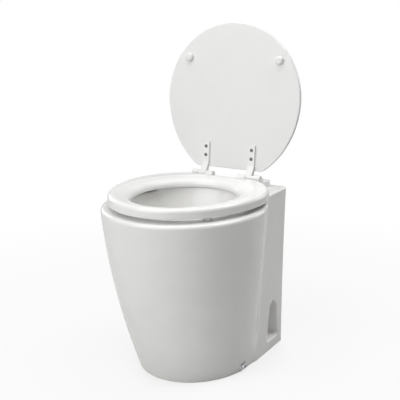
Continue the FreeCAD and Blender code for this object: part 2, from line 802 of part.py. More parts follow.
def lid_hinge_arm():
    axis = (HINGE_Y, HINGE_Z)
    strap_z = LID_FACE_Z - STRAP_THICKNESS
    lower = (LID_REAR_Y - STRAP_BEND_REACH, strap_z)
    upper = (LID_REAR_Y - LID_FACE_ROUNDING, LID_FACE_Z)
    outline = [
        (LID_REAR_Y - STRAP_END_REACH, LID_FACE_Z),
        (LID_REAR_Y - STRAP_END_REACH, strap_z),
        lower,
        tangent_point(lower, axis, KNUCKLE_RADIUS, 1),
        axis,
        tangent_point(upper, axis, KNUCKLE_RADIUS, -1),
        upper,
    ]
    x0 = LID_ARM_X + AXIAL_CLEARANCE
    arm = knuckle(outline, x0, x0 + STRAP_WIDTH, BASE_KNUCKLE_X - AXIAL_CLEARANCE, KNUCKLE_RADIUS)
    for place in lid_screw_places():
        arm = arm.cut(strap_screw_hole(place))
    return arm


def lid_panel():
    lid = plan_form(LID_FACE_Z, LID_THICKNESS, LID_HALF_WIDTH, LID_REAR_HALF_WIDTH, LID_REAR_Y,
                    LID_REAR_Y - (LID_LENGTH - LID_HALF_WIDTH), LID_REAR_Y - LID_LENGTH, LID_CORNER)
    lid = lid.makeFillet(LID_BACK_ROUNDING, flat_edges(lid, LID_FACE_Z + LID_THICKNESS))
    lid = lid.makeFillet(LID_FACE_ROUNDING, flat_edges(lid, LID_FACE_Z))
    for place in lid_screw_places():
        hole = strap_screw_hole(place)
        lid = lid.cut(hole).cut(mirrored(hole))
    return lid


def opened(shape):
    """Turn a piece of the closed lid to the open rest pose."""
    turned = shape.copy()
    turned.rotate(HINGE_CENTRE, -X_AXIS, LID_OPEN_ANGLE)
    return turned


def lid_buffer():
    height = LID_GAP - LID_BUFFER_CLEARANCE
    place = Vec(LID_BUFFER_X, LID_REAR_Y - LID_BUFFER_REACH, LID_FACE_Z)
    buffer = rod(BUFFER_RADIUS, height, place, -Z_AXIS)
    return buffer.makeFillet(height / 2, flat_edges(buffer, LID_FACE_Z - height))


def seat_buffers():
    places = ((FRONT_BUFFER_X, FRONT_BUFFER_Y), (REAR_BUFFER_X, REAR_BUFFER_Y))
    pads = []
    for x, y in places:
        pad = rod(BUFFER_RADIUS, SEAT_GAP - BUFFER_CLEARANCE, Vec(x, y, SEAT_BOTTOM_Z), -Z_AXIS)
        pads.append(pad.makeFillet(BUFFER_ROUNDING, flat_edges(pad, RIM_Z + BUFFER_CLEARANCE)))
    return Part.Compound(pads + [mirrored(pad) for pad in pads])


def hinge_base():
    top_z = LEDGE_Z + FOOT_HEIGHT
    foot = block(BASE_KNUCKLE_X, FOOT_END_X, FOOT_FRONT_EDGE_Y, FOOT_BACK_EDGE_Y, LEDGE_Z, top_z)
    rounded = [edge for edge in foot.Edges if edge.BoundBox.ZMax > LEDGE_Z + OVERCUT]
    foot = foot.makeFillet(FOOT_ROUNDING, rounded)
    axis = (HINGE_Y, HINGE_Z)
    front = (FOOT_FRONT_EDGE_Y, LEDGE_Z)
    back = (FOOT_BACK_EDGE_Y - FOOT_ROUNDING, LEDGE_Z + FOOT_HEIGHT / 2)
    outline = [
        front,
        tangent_point(front, axis, BASE_KNUCKLE_RADIUS, -1),
        axis,
        tangent_point(back, axis, BASE_KNUCKLE_RADIUS, 1),
        back,
        (back[0], LEDGE_Z),
    ]
    base = knuckle(outline, BASE_KNUCKLE_X, BASE_KNUCKLE_END_X, BASE_KNUCKLE_END_X, BASE_KNUCKLE_RADIUS)
    base = union([foot, base])
    hole_start = hinge_bolt_foot() - Z_AXIS * OVERCUT
    return base.cut(rod(HINGE_BOLT_RADIUS + FIT_GAP, BOLT_GRIP + OVERCUT, hole_start))


def hinge_pin():
    head_x = SEAT_ARM_X - PIN_HEAD_LENGTH
    start = Vec(head_x, HINGE_Y, HINGE_Z)
    head = rod(PIN_HEAD_RADIUS, PIN_HEAD_LENGTH, start, X_AXIS)
    return union([head, rod(PIN_RADIUS, BASE_KNUCKLE_END_X - head_x, start, X_AXIS)])


def hinge_bolt():
    top = hinge_bolt_foot() + Z_AXIS * BOLT_GRIP
    return rod(HINGE_BOLT_RADIUS, BOLT_GRIP + LEDGE_RISE + DECK + HINGE_BOLT_TAIL, top, -Z_AXIS)


def under_deck(drop):
    foot = hinge_bolt_foot()
    return Vec(foot.x, foot.y, RIM_Z - DECK - drop)


def hinge_bolt_washer():
    return tube(BOLT_WASHER_RADIUS, HINGE_BOLT_RADIUS + FIT_GAP, BOLT_WASHER_THICKNESS,
                under_deck(BOLT_WASHER_THICKNESS))


def wing_nut():
    start = under_deck(BOLT_WASHER_THICKNESS + WING_NUT_HEIGHT)
    half = WING_THICKNESS / 2
    wings = block(start.x - WING_REACH, start.x + WING_REACH, start.y - half, start.y + half,
                  start.z, start.z + WING_NUT_HEIGHT)
    corners = [edge for edge in wings.Edges
               if edge.BoundBox.XLength < TOUCH and edge.BoundBox.ZLength < TOUCH]
    wings = wings.makeFillet(WING_THICKNESS, corners)
    nut = union([rod(WING_NUT_RADIUS, WING_NUT_HEIGHT, start), wings])
    return nut.cut(rod(HINGE_BOLT_RADIUS + FIT_GAP, WING_NUT_HEIGHT, start))


# Floor fixing

def skirt_screw_seat(out):
    """Point on the skirt screw's axis, measured outwards from the spot face."""
    spot_x = skin_x(SKIRT_SCREW_Y, SKIRT_SCREW_Z) - SPOT_FACE_DEPTH
    return Vec(spot_x + out, SKIRT_SCREW_Y, SKIRT_SCREW_Z)


def skirt_screw():
    start = skirt_screw_seat(WASHER_THICKNESS)
    head = rod(SKIRT_SCREW_HEAD, SKIRT_SCREW_HEAD_LENGTH, start, X_AXIS)
    screw = union([head, rod(SKIRT_SCREW_RADIUS, SKIRT_SCREW_REACH, start, -X_AXIS)])
    top = skirt_screw_seat(WASHER_THICKNESS + SKIRT_SCREW_HEAD_LENGTH)
    corners = []
    for step in range(7):
        angle = math.radians(60 * step)
        corners.append(top + Vec(0, HEX_SOCKET * math.cos(angle), HEX_SOCKET * math.sin(angle)))
    socket = Part.Face(Part.makePolygon(corners)).extrude(-X_AXIS * HEX_SOCKET_DEPTH)
    return screw.cut(socket)


def skirt_washer():
    """Cup washer: a flat disc whose outer face slopes to its edge."""
    start = skirt_screw_seat(0.0)
    disc = Part.makeCone(WASHER_RADIUS, WASHER_RADIUS - WASHER_THICKNESS, WASHER_THICKNESS, start, X_AXIS)
    return disc.cut(rod(SKIRT_SCREW_RADIUS + FIT_GAP, WASHER_THICKNESS, start, X_AXIS))


def floor_bracket():
    x = screw_pad_x()
    low = SKIRT_SCREW_Y - BRACKET_HALF_LENGTH
    high = SKIRT_SCREW_Y + BRACKET_HALF_LENGTH
    upright = block(x - BRACKET_THICKNESS, x, low, high, 0, BRACKET_HEIGHT)
    foot = block(x - BRACKET_REACH, x, low, high, 0, BRACKET_THICKNESS)
    bracket = union([upright, foot])
    screw_start = Vec(x - BRACKET_REACH, SKIRT_SCREW_Y, SKIRT_SCREW_Z)
    bracket = bracket.cut(rod(SKIRT_SCREW_RADIUS + FIT_GAP, BRACKET_REACH, screw_start, X_AXIS))
    hole = Vec(x - BRACKET_HOLE_INSET, SKIRT_SCREW_Y, 0)
    return bracket.cut(rod(BRACKET_FLOOR_HOLE, BRACKET_THICKNESS, hole))


# Pump

PUMP_Z = SPIGOT_BOTTOM_Z - SOCKET_STEP - ELBOW_WALL - ELBOW_BEND
FLANGE_Y = OUTLET_Y + ELBOW_BEND
HOUSING_Y = FLANGE_Y + FLANGE_THICKNESS + GASKET
PLATE_Y = HOUSING_Y + PLATE_OFFSET
ADAPTOR_Y = HOUSING_Y + HOUSING_LENGTH
CAN_Y = ADAPTOR_Y + ADAPTOR_LENGTH
CAP_Y = CAN_Y + CAN_LENGTH
STACK_Y = CAN_Y + WINDING_HEAD + WINDING_CLEARANCE
COMMUTATOR_Y = STACK_Y + MAGNET_LENGTH + WINDING_HEAD
HOUSING_RADIUS = HOUSING_BORE + HOUSING_WALL
SHAFT_BORE = SHAFT_RADIUS + RUNNING_CLEARANCE
MAGNET_OUTER = CAN_RADIUS - CAN_WALL - FIT_GAP
STACK_RADIUS = MAGNET_OUTER - MAGNET_THICKNESS - AIR_GAP


def on_axis(y, x=0.0, up=0.0):
    """Point at the pump's shaft line, moved sideways and up."""
    return Vec(x, y, PUMP_Z + up)


def around(count, radius, y):
    """Points evenly spaced round the shaft line."""
    points = []
    for step in range(count):
        angle = 2 * math.pi * step / count
        points.append(on_axis(y, radius * math.cos(angle), radius * math.sin(angle)))
    return points


def bend(radius, start, centre, turn):
    """Round bar bent about the X direction through centre, from a level disc at start."""
    disc = Part.Face(Part.Wire(Part.Circle(start, Z_AXIS, radius).toShape()))
    return disc.revolve(centre, X_AXIS, turn)


def bowl_seal():
    start = Vec(0, OUTLET_Y, SPIGOT_BOTTOM_Z + SOCKET_STEP)
    return tube(SPIGOT_RADIUS + SEAL_SQUEEZE, SPIGOT_RADIUS + FIT_GAP, SEAL_HEIGHT, start)


def intake_elbow():
    socket_bore = SPIGOT_RADIUS + SEAL_SQUEEZE + FIT_GAP
    socket_radius = socket_bore + SOCKET_WALL
    step_z = SPIGOT_BOTTOM_Z - SOCKET_STEP
    bend_z = step_z - ELBOW_WALL
    bend_start = Vec(0, OUTLET_Y, bend_z)
    bend_centre = Vec(0, FLANGE_Y, bend_z)
    elbow = union([
        rod(socket_radius, SOCKET_HEIGHT + ELBOW_WALL, bend_start),
        bend(ELBOW_BORE + ELBOW_WALL, bend_start, bend_centre, 90),
        screw_flange(FLANGE_Y, FLANGE_THICKNESS),
    ])
    elbow = elbow.cut(rod(socket_bore, SOCKET_HEIGHT, Vec(0, OUTLET_Y, step_z)))
    elbow = elbow.cut(rod(ELBOW_BORE, ELBOW_WALL, bend_start))
    elbow = elbow.cut(bend(ELBOW_BORE, bend_start, bend_centre, 90))
    elbow = elbow.cut(rod(ELBOW_BORE, FLANGE_THICKNESS, on_axis(FLANGE_Y), Y_AXIS))
    return drilled(elbow, FLANGE_Y, FLANGE_THICKNESS)


def screw_flange(y, length):
    """Disc with a lug at each tie screw."""
    lugs = [rod(TIE_LUG, length, point, Y_AXIS) for point in around(TIE_SCREWS, TIE_SCREW_CIRCLE, y)]
    return union([rod(HOUSING_RADIUS, length, on_axis(y), Y_AXIS)] + lugs)


def drilled(shape, y, length):
    for point in around(TIE_SCREWS, TIE_SCREW_CIRCLE, y):
        shape = shape.cut(rod(TIE_SCREW_RADIUS + FIT_GAP, length, point, Y_AXIS))
    return shape


def casing_seal():
    return tube(HOUSING_RADIUS, HOUSING_BORE, GASKET, on_axis(HOUSING_Y - GASKET), Y_AXIS)


def port_place(z):
    return Vec(PORT_X, (PLATE_Y + ADAPTOR_Y) / 2, z)


def port_flange(z):
    return rod(PORT_FLANGE, PORT_FLANGE_THICKNESS, port_place(z))


def port_screw_points(z):
    """Screw places round the discharge port."""
    points = []
    for step in range(PORT_SCREWS):
        angle = math.radians(360.0 * step / PORT_SCREWS)
        offset = Vec(math.cos(angle), math.sin(angle), 0) * PORT_SCREW_CIRCLE
        points.append(port_place(z) + offset)
    return points


def macerator_housing():
    port_radius = PORT_BORE + PORT_WALL
    flange_z = PORT_TOP_Z - PORT_FLANGE_THICKNESS
    housing = union([
        screw_flange(HOUSING_Y, HOUSING_LENGTH),
        rod(port_radius, PORT_TOP_Z - PUMP_Z, port_place(PUMP_Z)),
        port_flange(flange_z),
    ])
    housing = housing.cut(rod(HOUSING_BORE, PLATE_OFFSET, on_axis(HOUSING_Y), Y_AXIS))
    housing = housing.cut(rod(HOUSING_BORE - PLATE_SEAT, HOUSING_LENGTH, on_axis(HOUSING_Y), Y_AXIS))
    housing = housing.cut(rod(PORT_BORE, PORT_TOP_Z - PUMP_Z, port_place(PUMP_Z)))
    for point in port_screw_points(flange_z):
        housing = housing.cut(rod(TIE_SCREW_RADIUS + FIT_GAP, PORT_FLANGE_THICKNESS, point))
    return drilled(housing, HOUSING_Y, HOUSING_LENGTH)


def chopper_plate():
    y = PLATE_Y - PLATE_THICKNESS
    plate = rod(HOUSING_BORE - FIT_GAP, PLATE_THICKNESS, on_axis(y), Y_AXIS)
    plate = plate.cut(rod(SHAFT_RADIUS + SHAFT_ROOM, PLATE_THICKNESS, on_axis(y), Y_AXIS))
    for point in around(PLATE_HOLES, PLATE_HOLE_CIRCLE, y):
        plate = plate.cut(rod(PLATE_HOLE_RADIUS, PLATE_THICKNESS, point, Y_AXIS))
    return plate


BLADE_Y = PLATE_Y - PLATE_THICKNESS - BLADE_GAP - BLADE_THICKNESS


def chopper_blade():
    """Two-armed blade with its cutting edges ground at an angle."""
    half = BLADE_WIDTH / 2
    outline = [
        on_axis(BLADE_Y, -BLADE_RADIUS, -half),
        on_axis(BLADE_Y, half, -half),
        on_axis(BLADE_Y, BLADE_RADIUS, 0),
        on_axis(BLADE_Y, BLADE_RADIUS, half),
        on_axis(BLADE_Y, -half, half),
        on_axis(BLADE_Y, -BLADE_RADIUS, 0),
    ]
    arms = Part.Face(Part.makePolygon(outline + outline[:1])).extrude(Y_AXIS * BLADE_THICKNESS)
    hub = rod(HUB_RADIUS, BLADE_THICKNESS, on_axis(BLADE_Y), Y_AXIS)
    return union([arms, hub]).cut(rod(SHAFT_BORE, BLADE_THICKNESS, on_axis(BLADE_Y), Y_AXIS))


def blade_nut():
    corners = around(6, BLADE_NUT, BLADE_Y)
    nut = Part.Face(Part.makePolygon(corners + corners[:1])).extrude(-Y_AXIS * BLADE_NUT_LENGTH)
    return nut.cut(rod(SHAFT_BORE, BLADE_NUT_LENGTH, on_axis(BLADE_Y), -Y_AXIS))


def impeller():
    """Hub with vanes that sweep back from the direction of turning."""
    y = (PLATE_Y + ADAPTOR_Y - IMPELLER_WIDTH) / 2
    pieces = [rod(HUB_RADIUS, IMPELLER_WIDTH, on_axis(y), Y_AXIS)]
    sweep = IMPELLER_RADIUS
    outer = rod(sweep + VANE_THICKNESS / 2, IMPELLER_WIDTH, on_axis(y, sweep, sweep / 2), Y_AXIS)
    inner = rod(sweep - VANE_THICKNESS / 2, IMPELLER_WIDTH, on_axis(y, sweep, sweep / 2), Y_AXIS)
    limit = rod(IMPELLER_RADIUS, IMPELLER_WIDTH, on_axis(y), Y_AXIS)
    keep = block(-FAR, FAR, y, y + IMPELLER_WIDTH, PUMP_Z, FAR)
    vane = outer.cut(inner).common(limit).common(keep)
    for step in range(IMPELLER_VANES):
        copy = vane.copy()
        copy.rotate(on_axis(y), Y_AXIS, 360.0 * step / IMPELLER_VANES)
        pieces.append(copy)
    return union(pieces).cut(rod(SHAFT_BORE, IMPELLER_WIDTH, on_axis(y), Y_AXIS))


def motor_shaft():
    start_y = BLADE_Y - BLADE_NUT_LENGTH - SHAFT_TIP
    return rod(SHAFT_RADIUS, CAP_Y + BEARING_WIDTH - start_y, on_axis(start_y), Y_AXIS)


def motor_adaptor():
    """Wall between pump and motor, with a seal pocket in front and a bearing pocket behind."""
    adaptor = screw_flange(ADAPTOR_Y, ADAPTOR_LENGTH)
    adaptor = adaptor.cut(rod(SHAFT_RADIUS + SHAFT_ROOM, ADAPTOR_LENGTH, on_axis(ADAPTOR_Y), Y_AXIS))
    adaptor = adaptor.cut(rod(SEAL_RADIUS + FIT_GAP, SEAL_LENGTH, on_axis(ADAPTOR_Y), Y_AXIS))
    adaptor = adaptor.cut(rod(BEARING_RADIUS + FIT_GAP, BEARING_WIDTH, on_axis(CAN_Y), -Y_AXIS))
    return drilled(adaptor, ADAPTOR_Y, TIE_THREAD)


def shaft_ring(radius, width, y):
    return tube(radius, SHAFT_BORE, width, on_axis(y), Y_AXIS)


def armature():
    """Slotted stack with winding heads at both ends and a commutator behind."""
    stack = rod(STACK_RADIUS, MAGNET_LENGTH, on_axis(STACK_Y), Y_AXIS)
    slot_x = STACK_RADIUS - STACK_SLOT_DEPTH
    half = STACK_SLOT_WIDTH / 2
    slot = block(slot_x, STACK_RADIUS + OVERCUT, STACK_Y, STACK_Y + MAGNET_LENGTH,
                 PUMP_Z - half, PUMP_Z + half)
    for step in range(STACK_SLOTS):
        copy = slot.copy()
        copy.rotate(on_axis(STACK_Y), Y_AXIS, 360.0 * step / STACK_SLOTS)
        stack = stack.cut(copy)
    head_radius = STACK_RADIUS - STACK_SLOT_DEPTH / 2
    heads = rod(head_radius, MAGNET_LENGTH + 2 * WINDING_HEAD, on_axis(STACK_Y - WINDING_HEAD), Y_AXIS)
    heads = heads.cut(rod(head_radius, MAGNET_LENGTH, on_axis(STACK_Y), Y_AXIS))
    commutator = rod(COMMUTATOR_RADIUS, COMMUTATOR_LENGTH, on_axis(COMMUTATOR_Y), Y_AXIS)
    whole = union([stack] + heads.Solids + [commutator])
    return whole.cut(rod(SHAFT_BORE, FAR, on_axis(STACK_Y - WINDING_HEAD), Y_AXIS))


def field_magnets():
    arc = Part.makeCylinder(MAGNET_OUTER, MAGNET_LENGTH, on_axis(STACK_Y), Y_AXIS, MAGNET_ANGLE)
    arc = arc.cut(rod(MAGNET_OUTER - MAGNET_THICKNESS, MAGNET_LENGTH, on_axis(STACK_Y), Y_AXIS))
    opposite = arc.copy()
    opposite.rotate(on_axis(STACK_Y), Y_AXIS, 180)
    return Part.Compound([arc, opposite])


def brush():
    half = BRUSH_SIZE / 2
    x = COMMUTATOR_RADIUS + BRUSH_GAP
    y = COMMUTATOR_Y + COMMUTATOR_LENGTH / 2
    return block(x, x + BRUSH_LENGTH, y - half, y + half, PUMP_Z - half, PUMP_Z + half)


def motor_end_cap():
    """Rear cap with a bearing pocket, two brush holders and a cable gland."""
    cap = rod(CAN_RADIUS, END_CAP, on_axis(CAP_Y), Y_AXIS)
    rear_edges = [edge for edge in cap.Edges if edge.BoundBox.YMin > CAP_Y + OVERCUT]
    cap = cap.makeFillet(END_CAP_ROUNDING, rear_edges)
    half = BRUSH_SIZE / 2
    room = half + FIT_GAP
    wall = room + BRUSH_HOLDER_WALL
    x0 = COMMUTATOR_RADIUS + BRUSH_HOLDER_GAP
    x1 = COMMUTATOR_RADIUS + BRUSH_GAP + BRUSH_LENGTH
    y = COMMUTATOR_Y + COMMUTATOR_LENGTH / 2
    holder = block(x0, x1, y - wall, CAP_Y, PUMP_Z - wall, PUMP_Z + wall)
    holder = holder.cut(block(x0, x1, y - room, y + room, PUMP_Z - room, PUMP_Z + room))
    gland_start = on_axis(CAP_Y + END_CAP, 0, -GLAND_DROP)
    cap = union([cap, holder, mirrored(holder), rod(GLAND_RADIUS, GLAND_LENGTH, gland_start, Y_AXIS)])
    cap = cap.cut(rod(BEARING_RADIUS + FIT_GAP, BEARING_WIDTH, on_axis(CAP_Y), Y_AXIS))
    return cap.cut(rod(GLAND_BORE, GLAND_LENGTH + END_CAP, on_axis(CAP_Y, 0, -GLAND_DROP), Y_AXIS))


def casing_screws():
    screws = []
    length = ADAPTOR_Y + TIE_THREAD - FLANGE_Y
    for point in around(TIE_SCREWS, TIE_SCREW_CIRCLE, FLANGE_Y):
        head = rod(TIE_SCREW_HEAD, TIE_SCREW_HEAD, point, -Y_AXIS)
        head = head.cut(rod(TIE_SCREW_RADIUS, TIE_SCREW_HEAD / 2, point - Y_AXIS * TIE_SCREW_HEAD, Y_AXIS))
        screws.append(union([head, rod(TIE_SCREW_RADIUS, length, point, Y_AXIS)]))
    return Part.Compound(screws)


# Pump base

BASE_TOP_Z = FOOT_PAD_HEIGHT + BASE_PLATE


def base_corners(z):
    x = BASE_HALF_WIDTH - FOOT_PAD_INSET
    ys = (BASE_FRONT_Y + FOOT_PAD_INSET, BASE_BACK_Y - FOOT_PAD_INSET)
    return [Vec(side * x, y, z) for side in (-1, 1) for y in ys]


def rubber_feet():
    return Part.Compound([rod(FOOT_PAD_RADIUS, FOOT_PAD_HEIGHT, point) for point in base_corners(0)])


def pump_base():
    plate = block(-BASE_HALF_WIDTH, BASE_HALF_WIDTH, BASE_FRONT_Y, BASE_BACK_Y, FOOT_PAD_HEIGHT, BASE_TOP_Z)
    uprights = [edge for edge in plate.Edges if edge.BoundBox.ZLength > BASE_PLATE / 2]
    plate = plate.makeFillet(FOOT_PAD_RADIUS, uprights)
    saddle = block(-SADDLE_HALF_WIDTH, SADDLE_HALF_WIDTH, SADDLE_Y, SADDLE_Y + SADDLE_LENGTH,
                   BASE_TOP_Z, PUMP_Z)
    base = union([plate, saddle])
    base = base.cut(rod(CAN_RADIUS + FIT_GAP, FAR, on_axis(BASE_FRONT_Y), Y_AXIS))
    for place in base_screw_places():
        base = base.cut(rod(BAND_SCREW + FIT_GAP, BASE_PLATE, place, -Z_AXIS))
    return base


def strap_bore():
    return CAN_RADIUS + 2 * FIT_GAP


def strap_screw_place():
    x = strap_bore() + STRAP_BAND_THICKNESS + STRAP_EAR / 2
    return Vec(x, STRAP_Y + STRAP_BAND / 2, BASE_TOP_Z)


def base_screw_places():
    strap = strap_screw_place()
    bracket = Vec(VALVE_X, bracket_y() - BRACKET_FOOT / 2, BASE_TOP_Z)
    return [strap, Vec(-strap.x, strap.y, strap.z), bracket]


def motor_strap():
    bore = strap_bore()
    radius = bore + STRAP_BAND_THICKNESS
    end_y = STRAP_Y + STRAP_BAND
    hoop = tube(radius, bore, STRAP_BAND, on_axis(STRAP_Y), Y_AXIS)
    hoop = hoop.common(block(-FAR, FAR, STRAP_Y, end_y, PUMP_Z, FAR))
    leg = block(bore, radius, STRAP_Y, end_y, BASE_TOP_Z, PUMP_Z)
    ear = block(bore, radius + STRAP_EAR, STRAP_Y, end_y, BASE_TOP_Z, BASE_TOP_Z + STRAP_BAND_THICKNESS)
    ear = ear.cut(rod(BAND_SCREW + FIT_GAP, STRAP_BAND_THICKNESS, strap_screw_place()))
    return union([hoop, leg, mirrored(leg), ear, mirrored(ear)])


def base_screw(place, sheet):
    """Pan-head screw through a sheet into the base plate."""
    top = place + Z_AXIS * sheet
    head = rod(2 * BAND_SCREW, BAND_SCREW, top)
    head = head.makeFillet(BAND_SCREW / 2, flat_edges(head, top.z + BAND_SCREW))
    return union([head, rod(BAND_SCREW, sheet + BASE_PLATE, top, -Z_AXIS)])


def base_screws():
    left, right, bracket = base_screw_places()
    return Part.Compound([
        base_screw(left, STRAP_BAND_THICKNESS),
        base_screw(right, STRAP_BAND_THICKNESS),
        base_screw(bracket, BRACKET_SHEET),
        valve_screw(),
    ])


# Discharge

DISCHARGE_Z = PORT_TOP_Z + PORT_FLANGE_THICKNESS + DISCHARGE_BEND


def tail_screw_points(y):
    """Screw places round the discharge line."""
    points = []
    for step in range(PORT_SCREWS):
        angle = math.radians(45 + 360.0 * step / PORT_SCREWS)
        offset = Vec(math.cos(angle), 0, math.sin(angle)) * PORT_SCREW_CIRCLE
        points.append(Vec(PORT_X, y, DISCHARGE_Z) + offset)
    return points


def discharge_line(radius, y0, y1):
    return rod(radius, y1 - y0, Vec(PORT_X, y0, DISCHARGE_Z), Y_AXIS)


def discharge_elbow():
    start = port_place(PORT_TOP_Z + PORT_FLANGE_THICKNESS)
    centre = start + Y_AXIS * DISCHARGE_BEND
    flange_y = TAIL_FLANGE_Y - PORT_FLANGE_THICKNESS
    elbow = union([
        port_flange(PORT_TOP_Z),
        bend(PORT_BORE + PORT_WALL, start, centre, -90),
        discharge_line(PORT_BORE + PORT_WALL, centre.y, TAIL_FLANGE_Y),
        discharge_line(PORT_FLANGE, flange_y, TAIL_FLANGE_Y),
    ])
    elbow = elbow.cut(rod(PORT_BORE, PORT_FLANGE_THICKNESS, port_place(PORT_TOP_Z)))
    elbow = elbow.cut(bend(PORT_BORE, start, centre, -90))
    elbow = elbow.cut(discharge_line(PORT_BORE, centre.y, TAIL_FLANGE_Y))
    hole = TIE_SCREW_RADIUS + FIT_GAP
    for point in port_screw_points(PORT_TOP_Z):
        elbow = elbow.cut(rod(hole, PORT_FLANGE_THICKNESS, point))
    for point in tail_screw_points(flange_y):
        elbow = elbow.cut(rod(hole, PORT_FLANGE_THICKNESS, point, Y_AXIS))
    return elbow


def flap_pin_centre():
    return Vec(PORT_X, TAIL_FLANGE_Y + FIT_GAP + FLAP_EYE_RADIUS, DISCHARGE_Z + FLAP_PIN_RISE)


def flap_pin():
    """Hinge pin of the non-return flap, held in the chamber's wall."""
    wall = FLAP_CHAMBER_BORE + PORT_WALL / 2
    half = math.sqrt(wall * wall - FLAP_PIN_RISE * FLAP_PIN_RISE)
    return rod(FLAP_PIN_RADIUS, 2 * half, flap_pin_centre() - X_AXIS * half, X_AXIS)


def discharge_flap():
    """Non-return flap: a disc over the elbow's bore, hung from an eye on its pin."""
    start = Vec(PORT_X, TAIL_FLANGE_Y + FIT_GAP, DISCHARGE_Z)
    centre = flap_pin_centre()
    half = FLAP_EYE_WIDTH / 2
    ear = block(PORT_X - half, PORT_X + half, start.y, start.y + FLAP_THICKNESS, DISCHARGE_Z, centre.z)
    eye = rod(FLAP_EYE_RADIUS, FLAP_EYE_WIDTH, centre - X_AXIS * half, X_AXIS)
    flap = union([rod(FLAP_RADIUS, FLAP_THICKNESS, start, Y_AXIS), ear, eye])
    room = rod(FLAP_EYE_RADIUS, FLAP_EYE_WIDTH, centre - X_AXIS * (half + FLAP_EYE_WIDTH), X_AXIS)
    flap = flap.cut(room).cut(room.translated(X_AXIS * 2 * FLAP_EYE_WIDTH))
    return flap.cut(rod(FLAP_PIN_RADIUS + RUNNING_CLEARANCE, FLAP_EYE_WIDTH, centre - X_AXIS * half, X_AXIS))


def discharge_tail():
    """Flap chamber with a flange in front and a hose spigot behind."""
    chamber_end = TAIL_FLANGE_Y + FLAP_CHAMBER_LENGTH
    tail = union([
        discharge_line(PORT_FLANGE, TAIL_FLANGE_Y, TAIL_FLANGE_Y + PORT_FLANGE_THICKNESS),
        discharge_line(FLAP_CHAMBER_BORE + PORT_WALL, TAIL_FLANGE_Y, chamber_end),
        discharge_line(TAIL_RADIUS, TAIL_FLANGE_Y, TAIL_END_Y),
    ])
    tail = tail.cut(discharge_line(TAIL_BORE, TAIL_FLANGE_Y, TAIL_END_Y))
    tail = tail.cut(discharge_line(FLAP_CHAMBER_BORE, TAIL_FLANGE_Y, chamber_end - PORT_WALL))
    pin_room = rod(FLAP_PIN_RADIUS + RUNNING_CLEARANCE, 2 * FLAP_CHAMBER_BORE,
                   flap_pin_centre() - X_AXIS * FLAP_CHAMBER_BORE, X_AXIS)
    tail = tail.cut(pin_room)
    for point in tail_screw_points(TAIL_FLANGE_Y):
        tail = tail.cut(rod(TIE_SCREW_RADIUS + FIT_GAP, PORT_FLANGE_THICKNESS, point, Y_AXIS))
    return tail


def discharge_screws():
    screws = []
    grip = 2 * PORT_FLANGE_THICKNESS
    for point in port_screw_points(PORT_TOP_Z + PORT_FLANGE_THICKNESS):
        head = rod(TIE_SCREW_HEAD, TIE_SCREW_RADIUS, point)
        screws.append(union([head, rod(TIE_SCREW_RADIUS, grip, point, -Z_AXIS)]))
    for point in tail_screw_points(TAIL_FLANGE_Y + PORT_FLANGE_THICKNESS):
        head = rod(TIE_SCREW_HEAD, TIE_SCREW_RADIUS, point, Y_AXIS)
        screws.append(union([head, rod(TIE_SCREW_RADIUS, grip, point, -Y_AXIS)]))
    return Part.Compound(screws)


# Rinse valve and hose

VALVE_CENTRE = Vec(VALVE_X, VALVE_Y, VALVE_Z)
CORE_X = VALVE_X + VALVE_HALF_SIZE
DIAPHRAGM_X = CORE_X - DIAPHRAGM_ROOM
PLUNGER_X = DIAPHRAGM_X + DIAPHRAGM_THICKNESS + PLUNGER_GAP
COIL_X = CORE_X + CORE_FLANGE
CORE_END_X = COIL_X + CORE_LENGTH
OUTLET_END = VALVE_CENTRE + Z_AXIS * (VALVE_HALF_HEIGHT + OUTLET_BARB)


def bracket_y():
    """Face of the valve body that the bracket holds."""
    return VALVE_Y - VALVE_HALF_SIZE


def along_core(radius, x0, x1):
    return rod(radius, x1 - x0, Vec(x0, VALVE_Y, VALVE_Z), X_AXIS)


def valve_body():
    half = VALVE_HALF_SIZE
    body = block(VALVE_X - half, VALVE_X + half, VALVE_Y - half, VALVE_Y + half,
                 VALVE_Z - VALVE_HALF_HEIGHT, VALVE_Z + VALVE_HALF_HEIGHT)
    body = body.makeFillet(VALVE_ROUNDING, [edge for edge in body.Edges if edge.BoundBox.ZLength > half])
    body = union([
        body,
        rod(BARB_RADIUS, half + BARB_LENGTH, VALVE_CENTRE, Y_AXIS),
        rod(BARB_RADIUS, VALVE_HALF_HEIGHT + OUTLET_BARB, VALVE_CENTRE),
    ])
    body = body.cut(rod(BARB_BORE, half + BARB_LENGTH, VALVE_CENTRE, Y_AXIS))
    body = body.cut(rod(BARB_BORE, VALVE_HALF_HEIGHT + OUTLET_BARB, VALVE_CENTRE))
    body = body.cut(along_core(DIAPHRAGM_RADIUS + FIT_GAP, DIAPHRAGM_X, CORE_X))
    return body.cut(rod(BAND_SCREW + FIT_GAP, BRACKET_SCREW, bracket_screw_place(), Y_AXIS))


def bracket_screw_place():
    return Vec(VALVE_X, bracket_y(), VALVE_Z)


def valve_core_tube():
    tube_solid = union([
        along_core(CORE_FLANGE_RADIUS, CORE_X, COIL_X),
        along_core(CORE_RADIUS, COIL_X, CORE_END_X),
    ])
    return tube_solid.cut(along_core(PLUNGER_RADIUS + RUNNING_CLEARANCE, CORE_X, CORE_END_X - CORE_FLANGE))


def valve_coil():
    coil = along_core(COIL_RADIUS, COIL_X, COIL_X + COIL_LENGTH)
    rims = [edge for edge in coil.Edges if edge.BoundBox.XLength < TOUCH]
    coil = coil.makeFillet(COIL_ROUNDING, rims)
    return coil.cut(along_core(CORE_RADIUS + FIT_GAP, COIL_X, COIL_X + COIL_LENGTH))


